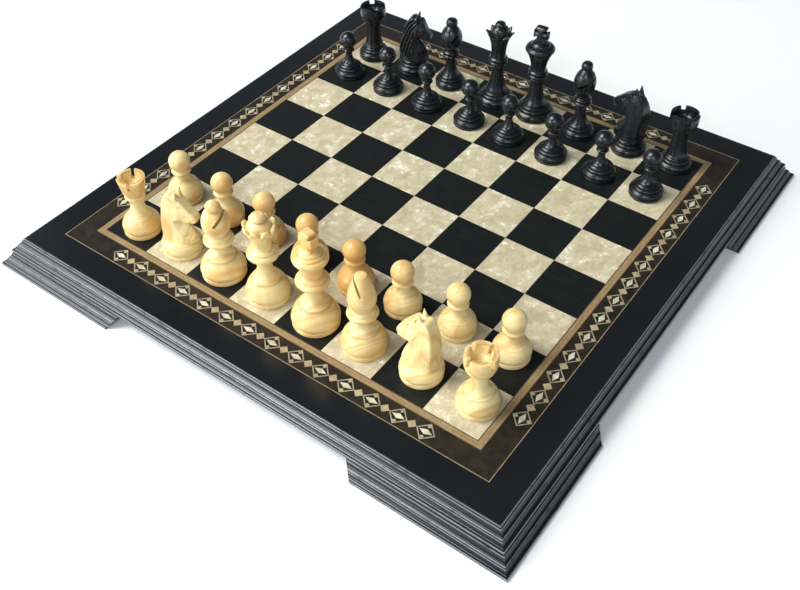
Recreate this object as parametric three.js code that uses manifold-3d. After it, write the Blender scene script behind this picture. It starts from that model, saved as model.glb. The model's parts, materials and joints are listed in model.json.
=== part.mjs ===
// Chess set on a low inlaid board: thirty-two turned men, a veneered playing field,
// an inlaid band, a mitred moulded border and four bracket feet.
// Millimetres. Origin at the middle of the board's underside, +Z up,
// +X towards the h file, +Y towards the black men.
import * as THREE from 'three';
import { mergeVertices } from 'three/addons/utils/BufferGeometryUtils.js';
import Module from 'manifold-3d';

const wasm = await Module();
wasm.setup();

// ---------- driving sizes ----------
const SQUARE = 36.5;             // one square of the field
const MOULDING_HEIGHT = 10.3;    // height of the border rail, and of each foot under it
const VENEER = 1.5;              // thickness of the inlaid surface layer
const STRINGING_WIDTH = 5;       // tan strip round the squares
const BAND_WIDTH = 13.8;         // dark strip that carries the inlaid motifs
const FLAT_WIDTH = 19.5;         // plain flat of the border
const FOOT_WIDTH = 22;           // depth of a foot from its outer tip inwards
const FOOT_LENGTH = 108;         // length of a foot along the side, at its top
const FOOT_SETOUT = 0.6;         // how far a foot's top stands out past the rail above it
const MAN = SQUARE;              // the men are turned in proportion to the square

// The border and the feet share one moulded section: a lip, then two steps of
// ledge, cove and fillet. Each height is a share of the moulding's height.
const MOULD = {
  lip: 0.1,
  ledge: 0.9,
  upperCoveOut: 2.6,
  upperCove: 0.33,
  upperFillet: 0.14,
  middleLedge: 0.6,
  lowerCoveOut: 2.4,
  lowerCove: 0.24,
  lowerLedge: 0.5,
};

const FIELD_SQUARES = 8;
const SIDES = 14;                // flats round each turned man
const COVE_STEPS = 3;
const FIELD_HALF = FIELD_SQUARES * SQUARE / 2;
const STRINGING_OUT = STRINGING_WIDTH;
const BAND_OUT = STRINGING_OUT + BAND_WIDTH;
const FLAT_OUT = BAND_OUT + FLAT_WIDTH;
const BOARD_TOP = 2 * MOULDING_HEIGHT;
const MOULD_OUT = MOULD.ledge + MOULD.upperCoveOut + MOULD.middleLedge
  + MOULD.lowerCoveOut + MOULD.lowerLedge;
const FOOT_OUT = FLAT_OUT + MOULD_OUT + FOOT_SETOUT - MOULD.ledge;
const BOARD_OUT = FOOT_OUT + MOULD_OUT;
const FILES = ['a', 'b', 'c', 'd', 'e', 'f', 'g', 'h'];

// ---------- finishes ----------
function finish(colour, roughness) {
  return new THREE.MeshStandardMaterial({ color: colour, roughness, metalness: 0 });
}
const blackLacquer = () => finish(0x2a2e31, 0.35);
const darkCore = () => finish(0x4a3a2a, 0.8);
const squareVeneer = () => finish(0xcfc9ae, 0.35);
const tanVeneer = () => finish(0xa98a5c, 0.5);
const bandVeneer = () => finish(0x2b2621, 0.45);
const boxwood = () => finish(0xe6cf94, 0.4);
const ebonised = () => finish(0x1d1c1e, 0.25);

// ---------- solids ----------
function weld(geometry) {
  const bare = geometry.clone();
  bare.deleteAttribute('normal');
  bare.deleteAttribute('uv');
  const merged = mergeVertices(bare, 1e-4);
  const kept = [];
  const index = merged.index.array;
  for (let i = 0; i < index.length; i += 3) {
    const [a, b, c] = [index[i], index[i + 1], index[i + 2]];
    if (a !== b && b !== c && c !== a) kept.push(a, b, c);
  }
  merged.setIndex(kept);
  return merged;
}

function toSolid(geometry) {
  const merged = weld(geometry);
  const mesh = new wasm.Mesh({
    numProp: 3,
    vertProperties: new Float32Array(merged.attributes.position.array),
    triVerts: new Uint32Array(merged.index.array),
  });
  mesh.merge();
  return new wasm.Manifold(mesh);
}

function fromSolid(solid) {
  const mesh = solid.getMesh();
  const geometry = new THREE.BufferGeometry();
  geometry.setAttribute('position', new THREE.BufferAttribute(mesh.vertProperties, mesh.numProp));
  geometry.setIndex(new THREE.BufferAttribute(mesh.triVerts, 1));
  return geometry;
}

function cut(geometry, cutters) {
  let solid = toSolid(geometry);
  for (const cutter of cutters) solid = solid.subtract(toSolid(cutter));
  return fromSolid(solid);
}

function facesOut(geometry) {
  const position = geometry.attributes.position;
  const index = geometry.index.array;
  const [a, b, c] = [new THREE.Vector3(), new THREE.Vector3(), new THREE.Vector3()];
  let volume = 0;
  for (let i = 0; i < index.length; i += 3) {
    a.fromBufferAttribute(position, index[i]);
    b.fromBufferAttribute(position, index[i + 1]);
    c.fromBufferAttribute(position, index[i + 2]);
    volume += a.dot(b.cross(c));
  }
  if (volume < 0) {
    for (let i = 0; i < index.length; i += 3) {
      [index[i], index[i + 1]] = [index[i + 1], index[i]];
    }
  }
  return geometry;
}

function named(name, geometry, material) {
  geometry.computeVertexNormals();
  const mesh = new THREE.Mesh(geometry, material);
  mesh.name = name;
  return mesh;
}

// ---------- board ----------
// A rail along the front side whose section is given as [distance out from the
// field, height]. Its ends follow the 45 degree mitres.
function mitredRail(section) {
  const shape = new THREE.Shape(section.map(([out, z]) => new THREE.Vector2(out, z)));
  const raw = weld(new THREE.ExtrudeGeometry(shape, { depth: 1, bevelEnabled: false }));
  const position = raw.attributes.position;
  for (let i = 0; i < position.count; i++) {
    const reach = FIELD_HALF + position.getX(i);
    const along = 2 * position.getZ(i) - 1;
    position.setXYZ(i, along * reach, -reach, position.getY(i));
  }
  return facesOut(raw);
}

function strip(inner, outer) {
  const under = BOARD_TOP - VENEER;
  return mitredRail([[inner, under], [outer, under], [outer, BOARD_TOP], [inner, BOARD_TOP]]);
}

function cove(start, out, drop) {
  const points = [];
  for (let i = 1; i <= COVE_STEPS; i++) {
    const turn = (i / COVE_STEPS) * Math.PI / 2;
    points.push([start[0] + out * (1 - Math.cos(turn)), start[1] - drop * Math.sin(turn)]);
  }
  return points;
}

// The moulded face from its top edge down to its bottom edge.
function mouldedFace(out, top) {
  const h = MOULDING_HEIGHT;
  const lipFoot = top - MOULD.lip * h;
  const face = [[out, top], [out, lipFoot], [out + MOULD.ledge, lipFoot]];
  face.push(...cove(face[face.length - 1], MOULD.upperCoveOut, MOULD.upperCove * h));
  let [x, z] = face[face.length - 1];
  z -= MOULD.upperFillet * h;
  face.push([x, z], [x + MOULD.middleLedge, z]);
  face.push(...cove(face[face.length - 1], MOULD.lowerCoveOut, MOULD.lowerCove * h));
  [x, z] = face[face.length - 1];
  face.push([x + MOULD.lowerLedge, z], [x + MOULD.lowerLedge, top - h]);
  return face;
}

function borderSection() {
  return [[BAND_OUT, BOARD_TOP], ...mouldedFace(FLAT_OUT, BOARD_TOP), [BAND_OUT, MOULDING_HEIGHT]];
}

function footSection() {
  const inner = BOARD_OUT - FOOT_WIDTH;
  return [[inner, MOULDING_HEIGHT], ...mouldedFace(FOOT_OUT, MOULDING_HEIGHT), [inner, 0]];
}

// Everything that is cut away past a foot's inner end. The end repeats the
// moulding: it steps back towards the corner as it goes down.
function footEndCutter() {
  const corner = FIELD_HALF + BOARD_OUT;
  const end = corner - FOOT_LENGTH;
  const steps = mouldedFace(0, MOULDING_HEIGHT).map(([back, z]) => new THREE.Vector2(end + back, z));
  const clear = 5;
  steps[0].y += clear;
  steps[steps.length - 1].y -= clear;
  const outline = new THREE.Shape([
    ...steps,
    new THREE.Vector2(-2 * corner, -clear),
    new THREE.Vector2(-2 * corner, MOULDING_HEIGHT + clear),
  ]);
  const across = 2 * FOOT_WIDTH;
  const cutter = new THREE.ExtrudeGeometry(outline, { depth: across, bevelEnabled: false });
  cutter.rotateX(Math.PI / 2);
  cutter.translate(0, -corner + across * 0.75, 0);
  return cutter;
}

function footHalf(mirrored) {
  const half = cut(mitredRail(footSection()), [footEndCutter()]);
  if (mirrored) half.scale(-1, 1, 1);
  return facesOut(half);
}

function turnedCopy(geometry, quarterTurns) {
  return geometry.clone().rotateZ(quarterTurns * Math.PI / 2);
}

function slab(half, bottom, top) {
  const box = new THREE.BoxGeometry(2 * half, 2 * half, top - bottom);
  return weld(box.translate(0, 0, (bottom + top) / 2));
}

function buildBoard() {
  const board = new THREE.Group();
  board.name = 'board';
  const under = BOARD_TOP - VENEER;
  board.add(named('core_panel', slab(FIELD_HALF + BAND_OUT, MOULDING_HEIGHT, under), darkCore()));
  board.add(named('playing_field', slab(FIELD_HALF, under, BOARD_TOP), squareVeneer()));
  const sides = ['front', 'right', 'back', 'left'];
  const corners = ['front_right', 'back_right', 'back_left', 'front_left'];
  sides.forEach((side, turns) => {
    const corner = corners[turns];
    const next = corners[(turns + 3) % 4];
    const add = (name, geometry, material) => {
      board.add(named(name, turnedCopy(geometry, turns), material));
    };
    add(`stringing_${side}`, strip(0, STRINGING_OUT), tanVeneer());
    add(`inlay_band_${side}`, strip(STRINGING_OUT, BAND_OUT), bandVeneer());
    add(`border_rail_${side}`, mitredRail(borderSection()), blackLacquer());
    add(`foot_${corner}_on_${side}`, footHalf(false), blackLacquer());
    add(`foot_${next}_on_${side}`, footHalf(true), blackLacquer());
  });
  return board;
}

// ---------- turned men ----------
// Outlines run from the foot to the top as [radius, height] in shares of a
// square. Every pale man stands on a plinth, a groove and a tall dome, which
// meets the neck's hollow at the shoulder.
function paleBell(foot, shoulder, high) {
  const plinth = 0.08;
  const widest = 0.15;
  const turnIn = 0.215;
  const middle = turnIn + (high - turnIn) / 2;
  return [
    [0, 0], [foot - 0.01, 0], [foot - 0.01, plinth], [foot - 0.03, plinth + 0.012],
    [foot, widest], [foot - 0.012, turnIn], [(foot + shoulder) / 2, middle], [shoulder, high],
  ];
}

// Every dark man stands on a plinth, a rounded drum and two rings.
function darkDrum(foot) {
  return [
    [0, 0], [foot, 0], [foot, 0.052], [foot - 0.024, 0.06], [foot, 0.11],
    [foot * 0.88, 0.168], [foot * 0.8, 0.175], [foot * 0.82, 0.2], [foot * 0.8, 0.22],
    [foot * 0.68, 0.236], [foot * 0.6, 0.274],
  ];
}

function ball(centre, radius, fromBelow) {
  const points = [];
  const steps = 4;
  const first = Math.asin(-fromBelow / radius);
  for (let i = 0; i <= steps; i++) {
    const turn = first + (Math.PI / 2 - first) * i / steps;
    const r = i === steps ? 0 : radius * Math.cos(turn);
    points.push([r, centre + radius * Math.sin(turn)]);
  }
  return points;
}

const ROOK_RIM = 1.2;            // height of a rook's sawn rim

// A second man of a pair has an outline of its own where it was turned differently.
const OUTLINES = {
  white: {
    pawn: [
      ...paleBell(0.328, 0.24, 0.352), [0.15, 0.44], [0.118, 0.53], [0.13, 0.587],
      [0.18, 0.62], [0.145, 0.657], ...ball(0.822, 0.197, 0.14),
    ],
    rook: [
      ...paleBell(0.348, 0.234, 0.375), [0.152, 0.49], [0.125, 0.66], [0.14, 0.765],
      [0.186, 0.805], [0.172, 0.838], [0.217, 1], [0.25, ROOK_RIM], [0.178, ROOK_RIM],
      [0.165, 1.1], [0, 0.99],
    ],
    rook_h: [
      ...paleBell(0.348, 0.238, 0.385), [0.152, 0.5], [0.127, 0.68], [0.14, 0.765],
      [0.2, 0.82], [0.24, 0.9], [0.264, 1.04], [0.252, ROOK_RIM], [0.172, ROOK_RIM],
      [0.16, 1.1], [0, 0.99],
    ],
    knight: [...paleBell(0.365, 0.3, 0.302), [0.27, 0.312], [0, 0.312]],
    bishop: [
      ...paleBell(0.398, 0.25, 0.44), [0.155, 0.525], [0.117, 0.64], [0.13, 0.7],
      [0.165, 0.735], [0.266, 0.78], [0.215, 0.835], [0.2, 0.885], [0.16, 0.905],
      [0.21, 1], [0.238, 1.09], [0.24, 1.18], [0.22, 1.28], [0.118, 1.43],
      [0.129, 1.48], [0.1, 1.55], [0, 1.588],
    ],
    bishop_f: [
      ...paleBell(0.383, 0.246, 0.44), [0.155, 0.525], [0.118, 0.64], [0.13, 0.7],
      [0.165, 0.735], [0.257, 0.78], [0.21, 0.835], [0.2, 0.885], [0.165, 0.9],
      [0.21, 0.99], [0.228, 1.08], [0.222, 1.18], [0.196, 1.3], [0.12, 1.52],
      [0.094, 1.59], [0, 1.606],
    ],
    queen: [
      ...paleBell(0.383, 0.246, 0.45), [0.165, 0.55], [0.128, 0.7], [0.137, 0.82],
      [0.165, 0.885], [0.272, 0.97], [0.22, 1.05], [0.205, 1.1], [0.165, 1.13],
      [0.172, 1.32], [0.25, 1.49], [0.277, 1.56], [0.277, 1.59], [0.25, 1.61],
      [0.21, 1.565], [0.188, 1.61], [0.1, 1.695], [0.112, 1.73], [0.06, 1.79], [0, 1.796],
    ],
    king: [
      ...paleBell(0.412, 0.256, 0.475), [0.165, 0.57], [0.127, 0.72], [0.137, 0.8],
      [0.165, 0.86], [0.28, 0.945], [0.228, 1.02], [0.21, 1.08], [0.178, 1.11],
      [0.2, 1.25], [0.285, 1.41], [0.298, 1.46], [0.29, 1.503], [0.244, 1.52],
      [0.242, 1.545], [0.195, 1.562], [0.155, 1.612], [0.1, 1.655], [0, 1.655],
    ],
  },
  black: {
    pawn: [
      ...darkDrum(0.318), [0.14, 0.3], [0.073, 0.44], [0.07, 0.53], [0.082, 0.565],
      [0.12, 0.594], [0.09, 0.622], ...ball(0.82, 0.178, 0.154),
    ],
    rook: [
      ...darkDrum(0.325), [0.205, 0.3], [0.16, 0.48], [0.148, 0.72], [0.165, 0.885],
      [0.24, 0.925], [0.256, 0.97], [0.273, 1.1], [0.27, ROOK_RIM], [0.19, ROOK_RIM],
      [0.175, 1.1], [0, 1.01],
    ],
    knight: [...darkDrum(0.34), [0.245, 0.287], [0.235, 0.3], [0, 0.3]],
    bishop: [
      ...darkDrum(0.31), [0.165, 0.31], [0.105, 0.51], [0.1, 0.62], [0.112, 0.69],
      [0.172, 0.73], [0.128, 0.765], [0.164, 0.812], [0.126, 0.87], [0.208, 1.01],
      [0.224, 1.1], [0.216, 1.19], [0.178, 1.29], [0.088, 1.395], [0.114, 1.45],
      [0.088, 1.535], [0, 1.555],
    ],
    bishop_f: [
      ...darkDrum(0.31), [0.165, 0.31], [0.105, 0.51], [0.1, 0.62], [0.115, 0.715],
      [0.182, 0.757], [0.135, 0.797], [0.165, 0.84], [0.12, 0.915], [0.198, 1.07],
      [0.216, 1.17], [0.21, 1.27], [0.172, 1.38], [0.084, 1.49], [0.11, 1.545],
      [0.08, 1.625], [0, 1.642],
    ],
    queen: [
      ...darkDrum(0.365), [0.215, 0.31], [0.145, 0.55], [0.122, 0.8], [0.13, 0.848],
      [0.162, 0.885], [0.14, 0.908], [0.192, 0.955], [0.158, 0.982], [0.188, 1.03],
      [0.152, 1.1], [0.17, 1.35], [0.25, 1.56], [0.292, 1.615], [0.27, 1.63],
      [0.185, 1.59], [0.15, 1.7], [0.098, 1.735], [0.1, 1.77], [0, 1.825],
    ],
    king: [
      ...darkDrum(0.39), [0.23, 0.31], [0.148, 0.54], [0.122, 0.79], [0.132, 0.84],
      [0.168, 0.88], [0.142, 0.903], [0.194, 0.95], [0.16, 0.978], [0.192, 1.03],
      [0.155, 1.12], [0.195, 1.32], [0.272, 1.49], [0.29, 1.51], [0.268, 1.562],
      [0.19, 1.603], [0.1, 1.69], [0, 1.69],
    ],
  },
};

function outlineOf(army, kind, letter) {
  const outlines = OUTLINES[army];
  return outlines[`${kind}_${letter}`] ?? outlines[kind];
}

function turned(outline) {
  const points = outline.map(([r, z]) => new THREE.Vector2(r * MAN, z * MAN));
  const lathe = new THREE.LatheGeometry(points, SIDES);
  return facesOut(weld(lathe.rotateX(Math.PI / 2)));
}

// ---------- cuts in the men ----------
// Two slots are sawn square to each other, straight across each rook's rim.
const SLOT_LENGTH = 0.8;
const SLOTS = {
  white: { width: 0.07, depth: 0.17, turns: { a: 0.66, h: -0.3 } },
  black: { width: 0.1, depth: 0.12, turns: { a: 0.75, h: 0.6 } },
};

function sawnRim(geometry, army, letter) {
  const { width, depth, turns } = SLOTS[army];
  const cuts = [0, Math.PI / 2].map((square) => {
    const saw = new THREE.BoxGeometry(SLOT_LENGTH * MAN, width * MAN, 2 * depth * MAN);
    return saw.rotateZ(turns[letter] + square).translate(0, 0, ROOK_RIM * MAN);
  });
  return cut(geometry, cuts);
}

// Round notches leave points on the queen's coronet and stay clear of her dome.
const CORONET_POINTS = 8;
const CORONET_RIM = { white: 1.6, black: 1.62 };
const NOTCH_RADIUS = 0.06;
const NOTCH_START = 0.2;
const NOTCH_LENGTH = 0.2;
const NOTCH_SIDES = 6;

function notchedCoronet(geometry, army) {
  const cuts = [];
  for (let i = 0; i < CORONET_POINTS; i++) {
    const radius = NOTCH_RADIUS * MAN;
    const notch = new THREE.CylinderGeometry(radius, radius, NOTCH_LENGTH * MAN, NOTCH_SIDES);
    const out = (NOTCH_START + NOTCH_LENGTH / 2) * MAN;
    notch.rotateZ(Math.PI / 2).translate(out, 0, CORONET_RIM[army] * MAN);
    cuts.push(notch.rotateZ(2 * Math.PI * (i + 0.5) / CORONET_POINTS));
  }
  return cut(geometry, cuts);
}

// One saw kerf leans into each bishop's mitre. Angles are in radians.
const KERF_LENGTH = 0.5;
const KERF_BREADTH = 0.8;
const KERFS = {
  white: {
    c: { turn: 0.63, lean: 0.82, height: 1.21, start: 0, width: 0.054 },
    f: { turn: 3.8, lean: 1.22, height: 1.24, start: 0.03, width: 0.04 },
  },
  black: {
    c: { turn: 0.5, lean: 0.95, height: 1.08, start: 0.03, width: 0.04 },
    f: { turn: 0.2, lean: 0.6, height: 1.2, start: -0.1, width: 0.042 },
  },
};

function kerfedMitre(geometry, army, letter) {
  const { turn, lean, height, start, width } = KERFS[army][letter];
  const kerf = new THREE.BoxGeometry(KERF_LENGTH * MAN, KERF_BREADTH * MAN, width * MAN);
  kerf.translate((start + KERF_LENGTH / 2) * MAN, 0, 0).rotateY(-lean);
  return cut(geometry, [kerf.translate(0, 0, height * MAN).rotateZ(turn)]);
}

// ---------- carved knights ----------
// Side outline of the horse's head and neck, nose towards +X.
const HORSE = [
  [-0.23, 0], [-0.26, 0.11], [-0.245, 0.31], [-0.215, 0.55], [-0.185, 0.75],
  [-0.14, 0.89], [-0.07, 0.96], [0.03, 0.97], [0.09, 1.08], [0.15, 0.92],
  [0.22, 0.83], [0.3, 0.725], [0.385, 0.63], [0.44, 0.565], [0.43, 0.48],
  [0.37, 0.42], [0.28, 0.44], [0.17, 0.48], [0.11, 0.465], [0.17, 0.39],
  [0.26, 0.3], [0.33, 0.2], [0.34, 0.09], [0.3, 0],
];
const HORSE_TOP = 1.08;
const HORSE_FLAT = 0.22;         // the sides' flats before they are tapered
const HORSE_ROUND = 0.05;        // how far the sides round over, through the thickness
const HORSE_BEVEL = 0.03;        // and how far they round inwards
const SLIM_UPWARDS = 0.35;       // the head's sides come in by this share at its top
const SLIM_FORWARDS = 0.7;       // and by this share for each square towards the nose
const NOSE_STARTS = 0.1;

function horseHead(seat) {
  const shape = new THREE.Shape(HORSE.map(([x, z]) => new THREE.Vector2(x, z)));
  const block = new THREE.ExtrudeGeometry(shape, {
    depth: HORSE_FLAT,
    bevelEnabled: true,
    bevelThickness: HORSE_ROUND,
    bevelSize: HORSE_BEVEL,
    bevelOffset: -HORSE_BEVEL,
    bevelSegments: 1,
  });
  block.translate(0, 0, -HORSE_FLAT / 2).rotateX(Math.PI / 2);
  const head = weld(block);
  const position = head.attributes.position;
  for (let i = 0; i < position.count; i++) {
    const [x, y, z] = [position.getX(i), position.getY(i), position.getZ(i)];
    const slimUp = Math.max(0, z / HORSE_TOP) * SLIM_UPWARDS;
    const slim = slimUp + Math.max(0, x - NOSE_STARTS) * SLIM_FORWARDS;
    position.setXYZ(i, x * MAN, y * (1 - slim) * MAN, (Math.max(z, 0) + seat) * MAN);
  }
  return facesOut(head);
}

// ---------- kings' crosses ----------
// Half widths of the arms and the stem, the height and the thickness.
const CROSSES = {
  white: { arm: 0.15, stem: 0.07, height: 0.32, thick: 0.15 },
  black: { arm: 0.125, stem: 0.065, height: 0.29, thick: 0.15 },
};
const ARMS_START = 0.24;         // the arms' corners, as shares of the height
const ARMS_END = 0.76;
const WAIST_BELOW = 0.32;
const WAIST_ABOVE = 0.68;

function crossOutline({ arm, stem, height }) {
  const right = [
    [stem, 0], [stem * 0.9, height * WAIST_BELOW], [arm, height * ARMS_START],
    [arm, height * ARMS_END], [stem * 0.9, height * WAIST_ABOVE], [stem, height],
  ];
  const left = right.map(([x, z]) => [-x, z]).reverse();
  return [...right, ...left];
}

function kingsCross(army, seat) {
  const points = crossOutline(CROSSES[army]);
  const shape = new THREE.Shape(points.map(([x, z]) => new THREE.Vector2(x * MAN, z * MAN)));
  const thick = CROSSES[army].thick * MAN;
  const cross = new THREE.ExtrudeGeometry(shape, { depth: thick, bevelEnabled: false });
  cross.translate(0, 0, -thick / 2).rotateX(Math.PI / 2);
  return facesOut(weld(cross.translate(0, 0, seat * MAN)));
}

// ---------- setting out the men ----------
const BACK_RANK = ['rook', 'knight', 'bishop', 'queen', 'king', 'bishop', 'knight', 'rook'];

// How far each man stands off the middle of its square, in shares of a square,
// file a to file h.
const STANDS_OFF = {
  white: {
    back: [[0.03, -0.1], [-0.01, -0.05], [0, -0.06], [-0.01, -0.03],
      [0.03, -0.03], [0, 0], [0.08, 0.07], [0.14, 0.05]],
    pawns: [[0.01, 0.02], [0.07, 0.01], [0.04, 0.04], [0.02, 0.04],
      [0.06, 0], [0.01, 0.05], [0.02, 0.16], [0.03, 0.19]],
  },
  black: {
    back: [[-0.02, -0.08], [0, -0.02], [-0.02, -0.05], [0.08, 0.01],
      [-0.02, 0.05], [0.04, -0.01], [0.09, 0.11], [0.05, 0.15]],
    pawns: [[-0.02, 0.04], [0.01, 0.04], [0.02, 0.02], [0.06, 0.03],
      [-0.02, 0.03], [-0.03, 0.01], [0, 0.06], [-0.02, 0.07]],
  },
};

// Which way each knight looks, in degrees from +X: in from both wings.
const KNIGHT_LOOKS = { white: { b: 15, g: 180 }, black: { b: 15, g: 170 } };

function manGeometry(kind, army, letter) {
  const body = turned(outlineOf(army, kind, letter));
  if (kind === 'rook') return sawnRim(body, army, letter);
  if (kind === 'queen') return notchedCoronet(body, army);
  if (kind === 'bishop') return kerfedMitre(body, army, letter);
  return body;
}

// The flat top of an outline, where a head or a cross is seated.
function seatHeight(kind, army) {
  const outline = outlineOf(army, kind);
  return outline[outline.length - 1][1];
}

function place(mesh, file, rank, off) {
  mesh.position.set(
    (file + 0.5 + off[0]) * SQUARE - FIELD_HALF,
    (rank - 0.5 + off[1]) * SQUARE - FIELD_HALF,
    BOARD_TOP,
  );
  return mesh;
}

function buildArmy(army, backRank, pawnRank) {
  const men = new THREE.Group();
  men.name = `${army}_men`;
  const wood = army === 'white' ? boxwood : ebonised;
  BACK_RANK.forEach((kind, file) => {
    const off = STANDS_OFF[army].back[file];
    const letter = FILES[file];
    const single = kind === 'king' || kind === 'queen';
    const stem = single ? `${army}_${kind}` : `${army}_${kind}_${letter}`;
    const name = kind === 'knight' ? `${stem}_base` : stem;
    const body = named(name, manGeometry(kind, army, letter), wood());
    men.add(place(body, file, backRank, off));
    if (kind === 'knight') {
      const head = named(`${stem}_head`, horseHead(seatHeight(kind, army)), wood());
      head.rotation.z = THREE.MathUtils.degToRad(KNIGHT_LOOKS[army][letter]);
      men.add(place(head, file, backRank, off));
    }
    if (kind === 'king') {
      const cross = named(`${stem}_cross`, kingsCross(army, seatHeight(kind, army)), wood());
      men.add(place(cross, file, backRank, off));
    }
  });
  FILES.forEach((letter, file) => {
    const pawn = named(`${army}_pawn_${letter}`, manGeometry('pawn', army, letter), wood());
    men.add(place(pawn, file, pawnRank, STANDS_OFF[army].pawns[file]));
  });
  return men;
}

const set = new THREE.Group();
set.name = 'chess_set';
set.add(buildBoard());
set.add(buildArmy('white', 1, 2));
set.add(buildArmy('black', 8, 7));

export default set;
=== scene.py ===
"""A chess set on its low inlaid board, dressed for rendering.

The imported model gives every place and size. Here each turned man, carved horse, veneer,
inlay and moulding is rebuilt finely on its own body and given its finish.
"""

import json
import logging
import math
from collections.abc import Iterable, Sequence
from dataclasses import dataclass, field
from enum import Enum
from functools import lru_cache
from typing import NamedTuple

import bpy
import numpy as np
from mathutils import Euler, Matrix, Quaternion, Vector

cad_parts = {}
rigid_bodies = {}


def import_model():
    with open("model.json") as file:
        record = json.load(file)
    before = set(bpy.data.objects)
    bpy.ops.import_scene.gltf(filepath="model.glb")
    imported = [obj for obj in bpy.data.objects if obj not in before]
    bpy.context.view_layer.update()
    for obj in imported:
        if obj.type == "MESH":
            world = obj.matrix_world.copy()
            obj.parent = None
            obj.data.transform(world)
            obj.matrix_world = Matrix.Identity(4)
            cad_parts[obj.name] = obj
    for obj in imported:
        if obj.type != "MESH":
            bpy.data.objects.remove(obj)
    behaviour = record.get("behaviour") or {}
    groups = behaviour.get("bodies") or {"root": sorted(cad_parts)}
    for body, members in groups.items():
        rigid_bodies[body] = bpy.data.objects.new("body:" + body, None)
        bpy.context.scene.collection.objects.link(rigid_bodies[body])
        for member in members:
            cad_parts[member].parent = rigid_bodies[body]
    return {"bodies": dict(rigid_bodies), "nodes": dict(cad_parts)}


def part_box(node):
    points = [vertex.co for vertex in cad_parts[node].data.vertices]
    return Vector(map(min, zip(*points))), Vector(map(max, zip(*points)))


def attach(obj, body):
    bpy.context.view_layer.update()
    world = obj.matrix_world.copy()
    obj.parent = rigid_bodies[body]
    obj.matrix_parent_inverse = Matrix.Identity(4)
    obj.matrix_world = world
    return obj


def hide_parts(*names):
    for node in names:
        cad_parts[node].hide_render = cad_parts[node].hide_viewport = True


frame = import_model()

MM = 0.001
SQUARES_A_SIDE = 8
Colour = tuple[float, float, float]
log = logging.getLogger("chess_set")


# ---------------------------------------------------------------- shader expressions
class Signal:
    """A node's output, which adds Math nodes when it stands in an expression."""

    def __init__(self, shader: "Shader", socket: bpy.types.NodeSocket) -> None:
        """Keep the shader that owns the socket.

        Args:
            shader: The material's node builder.
            socket: The output socket.
        """
        self.shader = shader
        self.socket = socket

    def maths(self, operation: str, *terms: "Signal | float") -> "Signal":
        """Add one Math node.

        Args:
            operation: The Math node's operation.
            terms: Its values in order.

        Returns:
            The result.
        """
        return self.shader.node("ShaderNodeMath", {"operation": operation}, dict(enumerate(terms)))

    def __add__(self, other: "Signal | float") -> "Signal":
        """Sum."""
        return self.maths("ADD", self, other)

    __radd__ = __add__

    def __sub__(self, other: "Signal | float") -> "Signal":
        """Difference."""
        return self.maths("SUBTRACT", self, other)

    def __rsub__(self, other: float) -> "Signal":
        """Difference from a number."""
        return self.maths("SUBTRACT", other, self)

    def __mul__(self, other: "Signal | float") -> "Signal":
        """Product."""
        return self.maths("MULTIPLY", self, other)

    __rmul__ = __mul__

    def between(self, low: float, high: float) -> "Signal":
        """Run smoothly from 0 at one value to 1 at another.

        Args:
            low: Where the result is 0.
            high: Where it is 1.

        Returns:
            A value from 0 to 1.
        """
        return self.shader.node(
            "ShaderNodeMapRange",
            {"interpolation_type": "SMOOTHSTEP"},
            {"Value": self, "From Min": low, "From Max": high},
        )


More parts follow.
